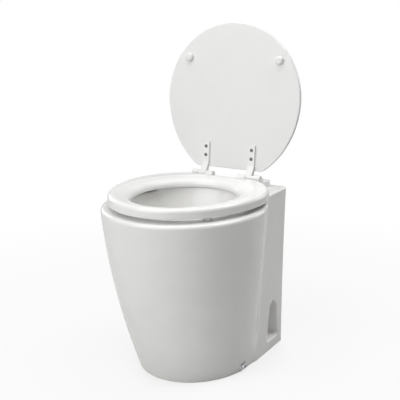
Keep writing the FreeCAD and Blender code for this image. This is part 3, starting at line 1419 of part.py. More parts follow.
def plunger_spring():
    """Return spring between the plunger and the closed end of the core tube."""
    start_x = PLUNGER_X + PLUNGER_LENGTH + SPRING_WIRE + FIT_GAP
    length = CORE_END_X - CORE_FLANGE - SPRING_WIRE - FIT_GAP - start_x
    helix = Part.makeHelix(length / SPRING_TURNS, length, SPRING_RADIUS)
    profile = Part.Wire(Part.Circle(Vec(SPRING_RADIUS, 0, 0), Y_AXIS, SPRING_WIRE).toShape())
    spring = Part.Wire(helix).makePipeShell([profile], True, True)
    spring.rotate(ORIGIN, Y_AXIS, 90)
    spring.translate(Vec(start_x, VALVE_Y, VALVE_Z))
    return spring


def valve_bracket():
    half = BRACKET_WIDTH / 2
    y = bracket_y()
    upright = block(VALVE_X - half, VALVE_X + half, y - BRACKET_SHEET, y, BASE_TOP_Z, VALVE_Z + half)
    foot = block(VALVE_X - half, VALVE_X + half, y - BRACKET_FOOT, y, BASE_TOP_Z, BASE_TOP_Z + BRACKET_SHEET)
    bracket = union([upright, foot])
    foot_screw = base_screw_places()[2]
    bracket = bracket.cut(rod(BAND_SCREW + FIT_GAP, BRACKET_SHEET, foot_screw))
    return bracket.cut(rod(BAND_SCREW + FIT_GAP, BRACKET_SHEET, bracket_screw_place(), -Y_AXIS))


def valve_screw():
    start = bracket_screw_place() - Y_AXIS * BRACKET_SHEET
    head = rod(2 * BAND_SCREW, BAND_SCREW, start, -Y_AXIS)
    return union([head, rod(BAND_SCREW, BRACKET_SHEET + BRACKET_SCREW - BRACKET_SCREW_TIP, start, Y_AXIS)])


SPUD_FLANGE_Y = INLET_BOSS_Y + SPUD_SEAL
SPUD_TURN = Vec(0, SPUD_FLANGE_Y + SPUD_STANDOFF, INLET_Z)
SPUD_END = SPUD_TURN - Z_AXIS * SPUD_DROP


def inlet_spud():
    """Elbow that turns the rinse water from the hose into the bowl."""
    front_y = SPUD_FLANGE_Y - SPUD_PLUG
    spud = union([
        rod(INLET_HOLE - FIT_GAP, SPUD_PLUG, Vec(0, front_y, INLET_Z), Y_AXIS),
        rod(SPUD_FLANGE, SPUD_FLANGE_THICKNESS, Vec(0, SPUD_FLANGE_Y, INLET_Z), Y_AXIS),
        rod(BARB_RADIUS, SPUD_STANDOFF, Vec(0, SPUD_FLANGE_Y, INLET_Z), Y_AXIS),
        rod(BARB_RADIUS, SPUD_DROP, SPUD_TURN, -Z_AXIS),
        Part.makeSphere(BARB_RADIUS, SPUD_TURN),
    ])
    spud = spud.cut(rod(BARB_BORE, SPUD_TURN.y - front_y, Vec(0, front_y, INLET_Z), Y_AXIS))
    spud = spud.cut(rod(BARB_BORE, SPUD_DROP, SPUD_TURN, -Z_AXIS))
    return spud.cut(Part.makeSphere(BARB_BORE, SPUD_TURN))


def spud_seal():
    return tube(SPUD_FLANGE, INLET_HOLE, SPUD_SEAL, Vec(0, INLET_BOSS_Y, INLET_Z), Y_AXIS)


def hose_path():
    """Straight ends over the two barbs, joined by two equal tangent arcs and a slanting run."""
    top = SPUD_END + Z_AXIS * HOSE_GRIP
    bottom = OUTLET_END - Z_AXIS * HOSE_GRIP
    upper = SPUD_END - Z_AXIS * HOSE_LEAD
    lower = OUTLET_END + Z_AXIS * HOSE_LEAD
    slant = (lower - upper).normalize()
    turn = slant.getAngle(-Z_AXIS)
    reach = HOSE_BEND * math.tan(turn / 2)
    edges = []
    place = top
    for corner, before, after in ((upper, -Z_AXIS, slant), (lower, slant, -Z_AXIS)):
        start = corner - before * reach
        end = corner + after * reach
        inward = (after - before).normalize()
        middle = corner + inward * (HOSE_BEND / math.cos(turn / 2) - HOSE_BEND)
        edges.append(line(place, start))
        edges.append(Part.Arc(start, middle, end).toShape())
        place = end
    edges.append(line(place, bottom))
    return Part.Wire(edges)


def hose_solid(radius):
    path = hose_path()
    profile = Part.Wire(Part.Circle(SPUD_END + Z_AXIS * HOSE_GRIP, Z_AXIS, radius).toShape())
    return path.makePipeShell([profile], True, False)


def rinse_hose():
    return hose_solid(BARB_RADIUS + FIT_GAP + HOSE_WALL).cut(hose_solid(BARB_RADIUS + FIT_GAP))


def hose_clip(centre):
    """Worm-drive band with its screw housing."""
    bore = BARB_RADIUS + 2 * FIT_GAP + HOSE_WALL
    start = centre - Z_AXIS * (CLIP_WIDTH / 2)
    band = rod(bore + CLIP_THICKNESS, CLIP_WIDTH, start)
    half = CLIP_WIDTH / 2
    edge = centre.y + bore
    drum = block(centre.x - half, centre.x + half, edge, edge + half, start.z, start.z + CLIP_WIDTH)
    return union([band, drum]).cut(rod(bore, CLIP_WIDTH, start))


def hose_clips():
    centres = (SPUD_END + Z_AXIS * (HOSE_GRIP / 2), OUTLET_END - Z_AXIS * (HOSE_GRIP / 2))
    return Part.Compound([hose_clip(centre) for centre in centres])


def both_sides(name, shape):
    """The right-hand piece and its mirror image, as two parts."""
    return {name + "_right": shape, name + "_left": mirrored(shape)}


def assemble():
    parts = {
        "china_body": china_body(),
        "skirt_screws": pair(skirt_screw()),
        "skirt_screw_washers": pair(skirt_washer()),
        "seat_ring": seat_ring(),
        "seat_buffers": seat_buffers(),
        "seat_hinge_screws": group(strap_screw(place) for place in seat_screw_places()),
        "lid": opened(lid_panel()),
        "lid_buffers": opened(pair(lid_buffer())),
        "lid_hinge_screws": opened(group(strap_screw(place) for place in lid_screw_places())),
        "hinge_pins": pair(hinge_pin()),
        "hinge_bolts": pair(hinge_bolt()),
        "hinge_bolt_washers": pair(hinge_bolt_washer()),
        "hinge_wing_nuts": pair(wing_nut()),
        "bowl_seal": bowl_seal(),
        "intake_elbow": intake_elbow(),
        "casing_seal": casing_seal(),
        "macerator_housing": macerator_housing(),
        "chopper_plate": chopper_plate(),
        "chopper_blade": chopper_blade(),
        "blade_nut": blade_nut(),
        "impeller": impeller(),
        "motor_shaft": motor_shaft(),
        "shaft_seal": shaft_ring(SEAL_RADIUS, SEAL_LENGTH, ADAPTOR_Y),
        "motor_adaptor": motor_adaptor(),
        "front_bearing": shaft_ring(BEARING_RADIUS, BEARING_WIDTH, CAN_Y - BEARING_WIDTH),
        "rear_bearing": shaft_ring(BEARING_RADIUS, BEARING_WIDTH, CAP_Y),
        "armature": armature(),
        "field_magnets": field_magnets(),
        "motor_can": tube(CAN_RADIUS, CAN_RADIUS - CAN_WALL, CAN_LENGTH, on_axis(CAN_Y), Y_AXIS),
        "motor_brushes": pair(brush()),
        "motor_end_cap": motor_end_cap(),
        "casing_screws": casing_screws(),
        "pump_base": pump_base(),
        "rubber_feet": rubber_feet(),
        "motor_strap": motor_strap(),
        "base_screws": base_screws(),
        "discharge_elbow": discharge_elbow(),
        "discharge_flap": discharge_flap(),
        "flap_pin": flap_pin(),
        "discharge_tail": discharge_tail(),
        "discharge_screws": discharge_screws(),
        "valve_bracket": valve_bracket(),
        "valve_body": valve_body(),
        "valve_core_tube": valve_core_tube(),
        "valve_coil": valve_coil(),
        "valve_diaphragm": along_core(DIAPHRAGM_RADIUS, DIAPHRAGM_X, DIAPHRAGM_X + DIAPHRAGM_THICKNESS),
        "valve_plunger": along_core(PLUNGER_RADIUS, PLUNGER_X, PLUNGER_X + PLUNGER_LENGTH),
        "plunger_spring": plunger_spring(),
        "rinse_hose": rinse_hose(),
        "hose_clips": hose_clips(),
        "inlet_spud": inlet_spud(),
        "spud_seal": spud_seal(),
    }
    parts.update(both_sides("floor_bracket", floor_bracket()))
    parts.update(both_sides("seat_hinge_arm", seat_hinge_arm()))
    parts.update(both_sides("lid_hinge_arm", opened(lid_hinge_arm())))
    parts.update(both_sides("hinge_base", hinge_base()))
    return parts


os.makedirs("parts", exist_ok=True)
for name, shape in assemble().items():
    shape.exportStep("parts/" + name + ".step")
    print(name, len(shape.Solids), shape.isValid(), round(shape.Volume))
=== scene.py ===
# %% [markdown]
# This lesson dresses an electric toilet: a white china bowl with a closed skirt, a plastic seat and lid,
# and a pump behind it. The imported model already holds every piece at its real size and place. So the
# first step only loads that model as a fixed frame.

# %% Load the frame
import json
import math

import bpy
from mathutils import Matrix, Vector


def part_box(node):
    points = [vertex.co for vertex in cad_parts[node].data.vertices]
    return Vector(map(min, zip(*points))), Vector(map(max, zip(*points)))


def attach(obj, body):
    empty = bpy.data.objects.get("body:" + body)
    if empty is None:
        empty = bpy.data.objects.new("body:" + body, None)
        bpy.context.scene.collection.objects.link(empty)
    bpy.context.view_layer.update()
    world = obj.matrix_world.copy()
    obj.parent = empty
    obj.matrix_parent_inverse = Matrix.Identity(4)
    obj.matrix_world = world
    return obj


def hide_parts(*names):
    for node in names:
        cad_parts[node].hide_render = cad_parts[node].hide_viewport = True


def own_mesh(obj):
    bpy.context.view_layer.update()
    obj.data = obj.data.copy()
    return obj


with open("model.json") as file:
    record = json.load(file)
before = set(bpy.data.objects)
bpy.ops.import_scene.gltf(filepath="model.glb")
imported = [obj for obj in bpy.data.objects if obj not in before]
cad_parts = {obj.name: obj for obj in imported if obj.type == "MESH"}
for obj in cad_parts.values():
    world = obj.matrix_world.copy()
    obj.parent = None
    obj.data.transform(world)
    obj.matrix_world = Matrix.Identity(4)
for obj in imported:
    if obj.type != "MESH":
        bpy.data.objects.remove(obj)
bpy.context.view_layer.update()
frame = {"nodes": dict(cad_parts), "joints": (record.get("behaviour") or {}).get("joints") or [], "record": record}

nodes = frame["nodes"]

# %% [markdown]
# A product photographer stands a little to the right of the front and looks slightly down. A long lens
# keeps the rim's ellipse calm. The place, the turn and the lens below were found by matching the edges of
# the bowl and lid with the photograph's, so the camera comes before any finish.

# %% Camera
CAMERA_PLACE = (0.90634, -1.67799, 0.82589)
CAMERA_DOWN = math.radians(13.77)
CAMERA_TURN = math.radians(30.18)
LENS_MM = 71.9
SENSOR_MM = 36.0

bpy.ops.object.select_all(action="DESELECT")
bpy.ops.object.camera_add(location=CAMERA_PLACE, rotation=(math.pi / 2 - CAMERA_DOWN, 0.0, CAMERA_TURN))
camera = bpy.context.object
camera.data.lens = LENS_MM
camera.data.sensor_width = SENSOR_MM
bpy.context.scene.camera = camera
bpy.context.scene.view_settings.view_transform = "Standard"
print("camera", camera.name, "lens", LENS_MM)

# %% [markdown]
# A shader is a small graph of nodes. Writing each node, its values and its links by hand takes many
# lines, so one helper adds a node, sets its inputs and joins those that are given another node's socket.
# Two short forms follow for nodes that come often, a sum or product of two numbers and a mix of two
# shaders, and each gives back the socket to go on from.

# %% Shader node helpers
def add_node(tree, kind, inputs=None, **settings):
    """One shader node with its settings; an input is a value or another node's output socket."""
    made = tree.nodes.new("ShaderNode" + kind)
    for key, value in settings.items():
        setattr(made, key, value)
    for key, value in (inputs or {}).items():
        if isinstance(value, bpy.types.NodeSocket):
            tree.links.new(value, made.inputs[key])
        else:
            made.inputs[key].default_value = value
    return made


def compute(tree, operation, first, second):
    """Sum, product or comparison of two numbers."""
    return add_node(tree, "Math", {0: first, 1: second}, operation=operation).outputs[0]


def mix_shaders(tree, share, first, second):
    """The first shader at share 0, the second at share 1."""
    return add_node(tree, "MixShader", {0: share, 1: first, 2: second}).outputs[0]


print("shader helpers ready")

# %% [markdown]
# A catalogue picture has a white ground. Turning up the lamps until the floor is white would burn out a
# white object too. Instead, rays that come straight from the camera see a white sky, and rays that carry
# light see a dim grey one. Mirrored rays see a sky between the two, as the walls of a studio are darker
# than its paper ground, and so would rays through a clear piece. The lamps then stay at a plain level.

# %% White sky for the camera, dim sky for the light
WHITE = (1.0, 1.0, 1.0, 1.0)
SKY_LIGHT = 0.02
MIRROR_SHARE = 0.5


def white_share(tree):
    """1 for rays from the camera, less by way of gloss or clear pieces, 0 for rays that carry light."""
    path = add_node(tree, "LightPath").outputs
    indirect = compute(tree, "MAXIMUM", path["Is Glossy Ray"], path["Is Transmission Ray"])
    part = compute(tree, "MULTIPLY", indirect, MIRROR_SHARE)
    return compute(tree, "MAXIMUM", path["Is Camera Ray"], part)


world = bpy.data.worlds.new("studio")
world.use_nodes = True
bpy.context.scene.world = world
sky = world.node_tree
sky.nodes.clear()
dim_sky = add_node(sky, "Background", {"Color": WHITE, "Strength": SKY_LIGHT}).outputs[0]
white_sky = add_node(sky, "Background", {"Color": WHITE, "Strength": 1.0}).outputs[0]
add_node(sky, "OutputWorld", {"Surface": mix_shaders(sky, white_share(sky), dim_sky, white_sky)})
print("sky light", SKY_LIGHT)

# %% [markdown]
# The floor is one wide pale sheet. Close to the bowl a part of its brightness is lit paint, so that the
# foot throws its soft shadow. Further out the floor's own brightness takes over, so that it meets the
# white sky without a line. Under the skirt hardly any sky is open, and an occlusion node takes the
# floor's own brightness away there. Map Range nodes turn the distance and the cover into shares, and they
# get a short form too, because the finishes need them later.

# %% Floor
FLOOR_SIZE = 30.0
FLOOR_OWN_LIGHT = (0.88, 1.0)
FLOOR_FADE = (0.3, 1.3)
FLOOR_PAINT = (0.68, 0.68, 0.67, 1.0)
COVER_REACH = 0.4
COVER_SAMPLES = 4
OPEN_SKY = (0.05, 0.35)


def map_range(tree, value, start, end):
    """Number that runs over the end range while the value runs over the start range."""
    limits = {"From Min": start[0], "From Max": start[1], "To Min": end[0], "To Max": end[1]}
    return add_node(tree, "MapRange", {"Value": value, **limits}).outputs["Result"]


bpy.ops.object.select_all(action="DESELECT")
bpy.ops.mesh.primitive_plane_add(size=FLOOR_SIZE)
floor = bpy.context.object
floor.name = "floor"
floor_paint = bpy.data.materials.new("floor_paint")
floor_paint.use_nodes = True
paint = floor_paint.node_tree
paint.nodes.clear()
lit = add_node(paint, "BsdfDiffuse", {"Color": FLOOR_PAINT}).outputs[0]
own = add_node(paint, "Emission", {"Color": WHITE, "Strength": 1.0}).outputs[0]
floor_place = add_node(paint, "TexCoord").outputs["Object"]
away = add_node(paint, "VectorMath", {0: floor_place}, operation="LENGTH").outputs["Value"]
own_share = map_range(paint, away, FLOOR_FADE, FLOOR_OWN_LIGHT)
cover = add_node(paint, "AmbientOcclusion", {"Distance": COVER_REACH}, samples=COVER_SAMPLES).outputs["AO"]
open_share = map_range(paint, cover, OPEN_SKY, (0.0, own_share))
share = compute(paint, "MULTIPLY", white_share(paint), open_share)
add_node(paint, "OutputMaterial", {"Surface": mix_shaders(paint, share, lit, own)})
floor.data.materials.append(floor_paint)
print("floor", FLOOR_SIZE, "m")

# %% [markdown]
# White china shows its shape by slow changes of grey. A large soft box overhead lights the seat and the
# inside of the bowl, one above the front draws the bright line on the rim, and one at the front left
# lights the tub, so that its right side falls away into grey. One high on the right reaches down into the
# niche and grazes the slab's side. The last two stand behind on the right and at the left side and keep
# the back readable. A lamp straight opposite the camera would be mirrored in the flat seat, so there is
# none.

# %% Lamps
AIM = Vector((0.0, -0.15, 0.35))
LAMPS = {
    "overhead": {"place": (0.0, -0.28, 2.4), "width": 2.2, "height": 1.6, "watts": 24.5},
    "top_front": {"place": (-0.3, -1.8, 2.3), "width": 2.2, "height": 1.6, "watts": 20.0},
    "front_left": {"place": (-0.7, -3.0, 1.3), "width": 2.6, "height": 2.3, "watts": 37.0},
    "top_right": {"place": (1.1, 0.9, 2.5), "width": 1.2, "height": 1.0, "watts": 20.5},
    "back_right": {"place": (1.3, 2.7, 1.4), "width": 1.4, "height": 1.4, "watts": 12.0},
    "side_left": {"place": (-2.8, 1.2, 1.3), "width": 1.4, "height": 1.4, "watts": 8.0},
}

for lamp_name, facts in LAMPS.items():
    stand = Vector(facts["place"])
    bpy.ops.object.light_add(type="AREA", location=stand)
    lamp = bpy.context.object
    lamp.name = lamp_name
    lamp.data.shape = "RECTANGLE"
    lamp.data.size = facts["width"]
    lamp.data.size_y = facts["height"]
    lamp.data.energy = facts["watts"]
    lamp.rotation_euler = (AIM - stand).to_track_quat("-Z", "Y").to_euler()
print("lamps", len(LAMPS))

# %% [markdown]
# Effects that several finishes share are node groups, built once. A group has named inputs and puts out
# only values that change over the surface. The first one gives slow ripples with a finer grain on top:
# glaze, paint, rubber and moulded plastic all have it, each at its own size.

# %% Group for ripple and grain
WAVE_DETAIL = 2.0
GRAIN_DETAIL = 3.0


def noise(tree, place, scale, detail):
    """Noise over the surface, around 0.5."""
    return add_node(tree, "TexNoise", {"Vector": place, "Scale": scale, "Detail": detail}).outputs["Fac"]


def shader_group(name, inputs, outputs):
    """Empty group with number inputs and outputs; gives the group and its two end nodes."""
    group = bpy.data.node_groups.new(name, "ShaderNodeTree")
    for label, value in inputs.items():
        socket = group.interface.new_socket(label, in_out="INPUT", socket_type="NodeSocketFloat")
        socket.default_value = value
    for label in outputs:
        group.interface.new_socket(label, in_out="OUTPUT", socket_type="NodeSocketFloat")
    return group, group.nodes.new("NodeGroupInput"), group.nodes.new("NodeGroupOutput")


def ripple_group():
    """Noise in two sizes: Height for bumps and Drift for slow changes of colour or gloss."""
    group, start, end = shader_group(
        "ripple", {"Wave Scale": 25.0, "Grain Scale": 600.0, "Grain Share": 0.1}, ("Height", "Drift"))
    place = add_node(group, "TexCoord").outputs["Object"]
    wave = noise(group, place, start.outputs["Wave Scale"], WAVE_DETAIL)
    grain = noise(group, place, start.outputs["Grain Scale"], GRAIN_DETAIL)
    small = compute(group, "MULTIPLY", grain, start.outputs["Grain Share"])
    group.links.new(compute(group, "ADD", wave, small), end.inputs["Height"])
    group.links.new(wave, end.inputs["Drift"])
    return group


RIPPLE = ripple_group()
print("group", RIPPLE.name)

# %% [markdown]
# Drawn, turned and rolled steel has fine lines along one direction. Noise that is squeezed across the
# lines and stretched along them gives that, and a twist by the piece's own axis isn't needed at this
# size.

# %% Group for drawn lines
LINE_DETAIL = 2.0


def lines_group():
    """Noise squeezed into fine lines that run along X."""
    group, start, end = shader_group("drawn_lines", {"Scale": 900.0, "Stretch": 0.03}, ("Height", "Streak"))
    place = add_node(group, "TexCoord").outputs["Object"]
    across = start.outputs["Scale"]
    along = compute(group, "MULTIPLY", across, start.outputs["Stretch"])
    sizes = add_node(group, "CombineXYZ", {"X": along, "Y": across, "Z": across}).outputs[0]
    squeezed = add_node(group, "VectorMath", {0: place, 1: sizes}, operation="MULTIPLY").outputs[0]
    streak = noise(group, squeezed, 1.0, LINE_DETAIL)
    group.links.new(streak, end.inputs["Height"])
    group.links.new(streak, end.inputs["Streak"])
    return group


LINES = lines_group()
print("group", LINES.name)

# %% [markdown]
# Behind the bowl nobody wipes, so the pump carries a thin film of dust where its surfaces face up. The
# mask is the upward part of the surface's normal, broken up by noise.

# %% Group for settled dust
DUST_SLOPE = (0.2, 1.0)
DUST_DETAIL = 4.0


def dust_group():
    """Mask of dust on faces that look up."""
    group, start, end = shader_group("settled_dust", {"Amount": 0.5, "Scale": 60.0}, ("Mask",))
    place = add_node(group, "TexCoord").outputs["Object"]
    normal = add_node(group, "NewGeometry").outputs["Normal"]
    upward = add_node(group, "SeparateXYZ", {0: normal}).outputs["Z"]
    facing = map_range(group, upward, DUST_SLOPE, (0.0, 1.0))
    patches = noise(group, place, start.outputs["Scale"], DUST_DETAIL)
    broken = compute(group, "MULTIPLY", facing, patches)
    group.links.new(compute(group, "MULTIPLY", broken, start.outputs["Amount"]), end.inputs["Mask"])
    return group


DUST = dust_group()
print("group", DUST.name)

# %% [markdown]
# Every finish below is made in the same way: a material with its main shader, a group placed in it with
# its own values, a ramp between two close colours, a range for the roughness, and a bump. Noise stays
# mostly between 0.3 and 0.7, so ramps and ranges span that. These helpers keep the finishes short, so
# that each one shows only what is special about it.

# %% Finish helpers
NOISE_SPAN = (0.3, 0.7)
finishes = {}


def new_finish(name, **sockets):
    """Material with its main shader; the named sockets are the same all over the surface."""
    material = bpy.data.materials.new(name)
    material.use_nodes = True
    shader = material.node_tree.nodes["Principled BSDF"]
    for key, value in sockets.items():
        shader.inputs[key.replace("_", " ")].default_value = value
    finishes[name] = material
    return material.node_tree, shader


def place_group(tree, group, **values):
    """Put a shared group in a material, with this finish's own values."""
    made = add_node(tree, "Group", node_tree=group)
    for key, value in values.items():
        made.inputs[key.replace("_", " ")].default_value = value
    return made.outputs


def color_between(tree, value, colors):
    """Colour that goes from the first to the second as the noise rises."""
    ramp = add_node(tree, "ValToRGB", {0: value})
    for element, position, color in zip(ramp.color_ramp.elements, NOISE_SPAN, colors):
        element.position = position
        element.color = (*color, 1.0)
    return ramp.outputs[0]


def join_surface(tree, shader, color, roughness, height, depth):
    """Join colour, roughness and a bump of the given depth in metres to the main shader."""
    bump = add_node(tree, "Bump", {"Height": height, "Distance": depth, "Strength": 1.0})
    tree.links.new(color, shader.inputs["Base Color"])
    tree.links.new(roughness, shader.inputs["Roughness"])
    tree.links.new(bump.outputs[0], shader.inputs["Normal"])


print("finish helpers ready")

# %% [markdown]
# Sanitary china is cast from slip and fired with a thick white glaze. Its shape carries slow ripples from
# the casting, and the glaze adds a faint peel, so its reflections are clear but never quite straight. The
# ring that stands on the floor is wiped clean of glaze before firing and stays dull and creamy.

# %% China
GLAZE_COLORS = ((0.87, 0.866, 0.852), (0.895, 0.891, 0.877))
GLAZE_ROUGHNESS = (0.06, 0.1)
GLAZE_PEEL = 0.0004
CLAY_COLOR = (0.72, 0.68, 0.61, 1.0)
CLAY_ROUGHNESS = 0.8
CLAY_HEIGHT = 0.0015


def mix_colors(tree, share, first, second):
    """The first colour at share 0, the second at share 1."""
    inputs = {"Factor": share, "A": first, "B": second}
    return add_node(tree, "Mix", inputs, data_type="RGBA").outputs["Result"]


china, china_shader = new_finish("china_glaze", IOR=1.52)
glaze = place_group(china, RIPPLE, Wave_Scale=18.0, Grain_Scale=300.0, Grain_Share=0.02)
china_place = add_node(china, "TexCoord").outputs["Object"]
above_floor = add_node(china, "SeparateXYZ", {0: china_place}).outputs["Z"]
bare = compute(china, "LESS_THAN", above_floor, CLAY_HEIGHT)
china_color = mix_colors(china, bare, color_between(china, glaze["Drift"], GLAZE_COLORS), CLAY_COLOR)
glaze_gloss = map_range(china, glaze["Drift"], NOISE_SPAN, GLAZE_ROUGHNESS)
china_gloss = map_range(china, bare, (0.0, 1.0), (glaze_gloss, CLAY_ROUGHNESS))
join_surface(china, china_shader, china_color, china_gloss, glaze["Height"], GLAZE_PEEL)
print("china finish ready")

# %% [markdown]
# Plastic, silicone, chrome, rubber and paint differ only in their values: two colours, a range of gloss,
# the size of the ripple and the depth of the peel. So one function makes them all, and each finish is a
# few values. What stands behind the bowl also gets a film of dust, mixed over its colour by the dust
# group's mask.

# %% Rippled finish
DUST_COLOR = (0.42, 0.40, 0.37, 1.0)


def dusted(tree, color, amount):
    """Colour under a film of dust."""
    mask = place_group(tree, DUST, Amount=amount)["Mask"]
    return mix_colors(tree, mask, color, DUST_COLOR)


def ripple_finish(name, colors, roughness, ripple, depth, dust=None, **sockets):
    """Finish with ripple and grain, under dust where an amount is given."""
    tree, shader = new_finish(name, **sockets)
    surface = place_group(tree, RIPPLE, **ripple)
    color = color_between(tree, surface["Drift"], colors)
    if dust is not None:
        color = dusted(tree, color, dust)
    gloss = map_range(tree, surface["Drift"], NOISE_SPAN, roughness)
    join_surface(tree, shader, color, gloss, surface["Height"], depth)


print("rippled finish ready")

# %% [markdown]
# The seat and lid are pressed from hard white plastic and polished. The lid's inner face is duller than
# the seat, and its colour is a little greyer, which is painted shade on that face. The hinge straps are
# the whitest of all, so these are three values of one finish.

# %% White plastic
PRESSED = {"Wave_Scale": 14.0, "Grain_Scale": 900.0, "Grain_Share": 0.03}
PRESSED_PEEL = 0.00015
POLISHED = {"IOR": 1.49, "Coat_Weight": 0.15, "Coat_Roughness": 0.05}
WHITE_PLASTICS = {
    "seat_gloss": {"colors": ((0.87, 0.87, 0.86), (0.9, 0.9, 0.892)), "roughness": (0.12, 0.2)},
    # The lid's colours are a little greyer than the seat's: painted shade on the lid's inner face.
    "lid_satin_painted_shade": {"colors": ((0.83, 0.83, 0.822), (0.855, 0.855, 0.847)), "roughness": (0.28, 0.38)},
    "hinge_white": {"colors": ((0.875, 0.875, 0.865), (0.9, 0.9, 0.89)), "roughness": (0.2, 0.3)},
}

for plastic, look in WHITE_PLASTICS.items():
    ripple_finish(plastic, ripple=PRESSED, depth=PRESSED_PEEL, **look, **POLISHED)
print("white plastics", len(WHITE_PLASTICS))

# %% [markdown]
# The small buffers under the seat and on the lid are soft white silicone. A little light passes into them
# and comes out again nearby, so their shaded side stays milky. That is what subsurface scattering gives.

# %% Soft buffers
MILKY = {"Subsurface_Weight": 0.2, "Subsurface_Scale": 0.003, "Subsurface_Radius": (1.0, 1.0, 1.0)}

ripple_finish(
    "soft_silicone", colors=((0.83, 0.83, 0.82), (0.88, 0.88, 0.87)), roughness=(0.22, 0.34),
    ripple={"Wave_Scale": 120.0, "Grain_Scale": 1500.0, "Grain_Share": 0.2}, depth=0.00008,
    IOR=1.41, **MILKY)
print("soft silicone ready")

# %% [markdown]
# Metal takes its look from what it mirrors. Chrome is nearly a mirror with faint polishing marks. Screws,
# brackets and clips are plain steel with drawn lines, and the small lid screws are dark.

# %% Metals
STEEL_DUST = 0.25
LINE_DEPTH = 0.00001


def drawn_steel(name, colors, roughness):
    """Steel with drawn lines under a little dust."""
    tree, shader = new_finish(name, Metallic=1.0)
    lines = place_group(tree, LINES)
    color = dusted(tree, color_between(tree, lines["Streak"], colors), STEEL_DUST)
    gloss = map_range(tree, lines["Streak"], NOISE_SPAN, roughness)
    join_surface(tree, shader, color, gloss, lines["Height"], LINE_DEPTH)


drawn_steel("dark_steel", colors=((0.12, 0.115, 0.105), (0.22, 0.21, 0.195)), roughness=(0.35, 0.5))
drawn_steel("plain_steel", colors=((0.5, 0.5, 0.5), (0.64, 0.64, 0.63)), roughness=(0.25, 0.4))
ripple_finish(
    "polished_chrome", colors=((0.55, 0.56, 0.57), (0.64, 0.65, 0.66)), roughness=(0.12, 0.22),
    ripple={"Wave_Scale": 200.0, "Grain_Scale": 2500.0, "Grain_Share": 0.2}, depth=0.00002, Metallic=1.0)
print("metals ready")

# %% [markdown]
# Black pump castings are glass-filled nylon with a fine sparkle of fibre ends. Rubber is duller and a
# little browner, and the motor's can is sprayed with satin paint that dries with a slight peel. The
# magnets are dark sintered ferrite, and the valve's coil is cast in blue resin.

# %% Pump finishes
PUMP_FINISHES = {
    "black_nylon": {
        "colors": ((0.022, 0.022, 0.024), (0.04, 0.04, 0.042)), "roughness": (0.42, 0.58), "dust": 0.5,
        "ripple": {"Wave_Scale": 60.0, "Grain_Scale": 1800.0, "Grain_Share": 0.5}, "depth": 0.0001},
    "soft_rubber": {
        "colors": ((0.018, 0.017, 0.016), (0.034, 0.032, 0.03)), "roughness": (0.65, 0.8), "dust": 0.6,
        "ripple": {"Wave_Scale": 90.0, "Grain_Scale": 1200.0, "Grain_Share": 0.4}, "depth": 0.0002},
    "motor_paint": {
        "colors": ((0.05, 0.055, 0.06), (0.075, 0.08, 0.088)), "roughness": (0.3, 0.42), "dust": 0.45,
        "ripple": {"Wave_Scale": 70.0, "Grain_Scale": 700.0, "Grain_Share": 0.3}, "depth": 0.0001},
    "ferrite": {
        "colors": ((0.05, 0.048, 0.046), (0.08, 0.077, 0.074)), "roughness": (0.5, 0.65), "dust": 0.2,
        "ripple": {"Wave_Scale": 80.0, "Grain_Scale": 1500.0, "Grain_Share": 0.5}, "depth": 0.0002},
    "coil_resin": {
        "colors": ((0.03, 0.06, 0.16), (0.045, 0.08, 0.2)), "roughness": (0.3, 0.42), "dust": 0.4,
        "ripple": {"Wave_Scale": 60.0, "Grain_Scale": 900.0, "Grain_Share": 0.2}, "depth": 0.0001},
}

for pump_finish, look in PUMP_FINISHES.items():
    ripple_finish(pump_finish, **look)
print("pump finishes", len(PUMP_FINISHES))

# %% [markdown]
# Now every node gets its finish. The table goes from a finish to the nodes that wear it, and the count at
# the end shows that none was left in a plain colour.

# %% Give every node its finish
WEARERS = {
    "china_glaze": ("china_body",),
    "seat_gloss": ("seat_ring",),
    "lid_satin_painted_shade": ("lid",),
    "hinge_white": (
        "lid_hinge_arm_left", "lid_hinge_arm_right", "seat_hinge_arm_left", "seat_hinge_arm_right",
        "hinge_base_left", "hinge_base_right"),
    "soft_silicone": ("seat_buffers", "lid_buffers"),
    "polished_chrome": ("skirt_screws", "skirt_screw_washers"),
    "dark_steel": ("lid_hinge_screws", "seat_hinge_screws", "chopper_blade", "chopper_plate", "blade_nut"),
    "plain_steel": (
        "hinge_pins", "hinge_bolts", "hinge_bolt_washers", "motor_shaft", "casing_screws", "motor_strap",
        "base_screws", "discharge_screws", "valve_bracket", "valve_plunger", "plunger_spring", "hose_clips",
        "front_bearing", "rear_bearing", "floor_bracket_left", "floor_bracket_right", "valve_core_tube",
        "flap_pin"),
    "black_nylon": (
        "intake_elbow", "macerator_housing", "motor_adaptor", "impeller", "motor_end_cap", "pump_base",
        "discharge_elbow", "discharge_tail", "valve_body", "inlet_spud", "hinge_wing_nuts"),
    "soft_rubber": (
        "bowl_seal", "casing_seal", "shaft_seal", "rubber_feet", "valve_diaphragm", "rinse_hose", "spud_seal",
        "discharge_flap"),
    "motor_paint": ("motor_can", "armature"),
    "ferrite": ("field_magnets", "motor_brushes"),
    "coil_resin": ("valve_coil",),
}

dressed = set()
for finish, wearers in WEARERS.items():
    for wearer in wearers:
        mesh = nodes[wearer].data
        mesh.materials.clear()
        mesh.materials.append(finishes[finish])
        dressed.add(wearer)
print("finishes", len(WEARERS), "nodes dressed", len(dressed), "left", sorted(set(nodes) - dressed))

# %% [markdown]
# New pieces are modelled as by hand. Each starts as a primitive with nothing else selected, because an
# operator acts on all that is selected. The helpers open a primitive in edit mode, pick its points by a
# test, extrude what is picked, and cut one piece with another.

# %% Shaping helpers
def add_primitive(kind, **sizes):
    """Add a primitive by itself and open it in edit mode."""
    bpy.ops.object.select_all(action="DESELECT")
    getattr(bpy.ops.mesh, "primitive_" + kind + "_add")(**sizes)
    bpy.ops.object.mode_set(mode="EDIT")
    return bpy.context.object


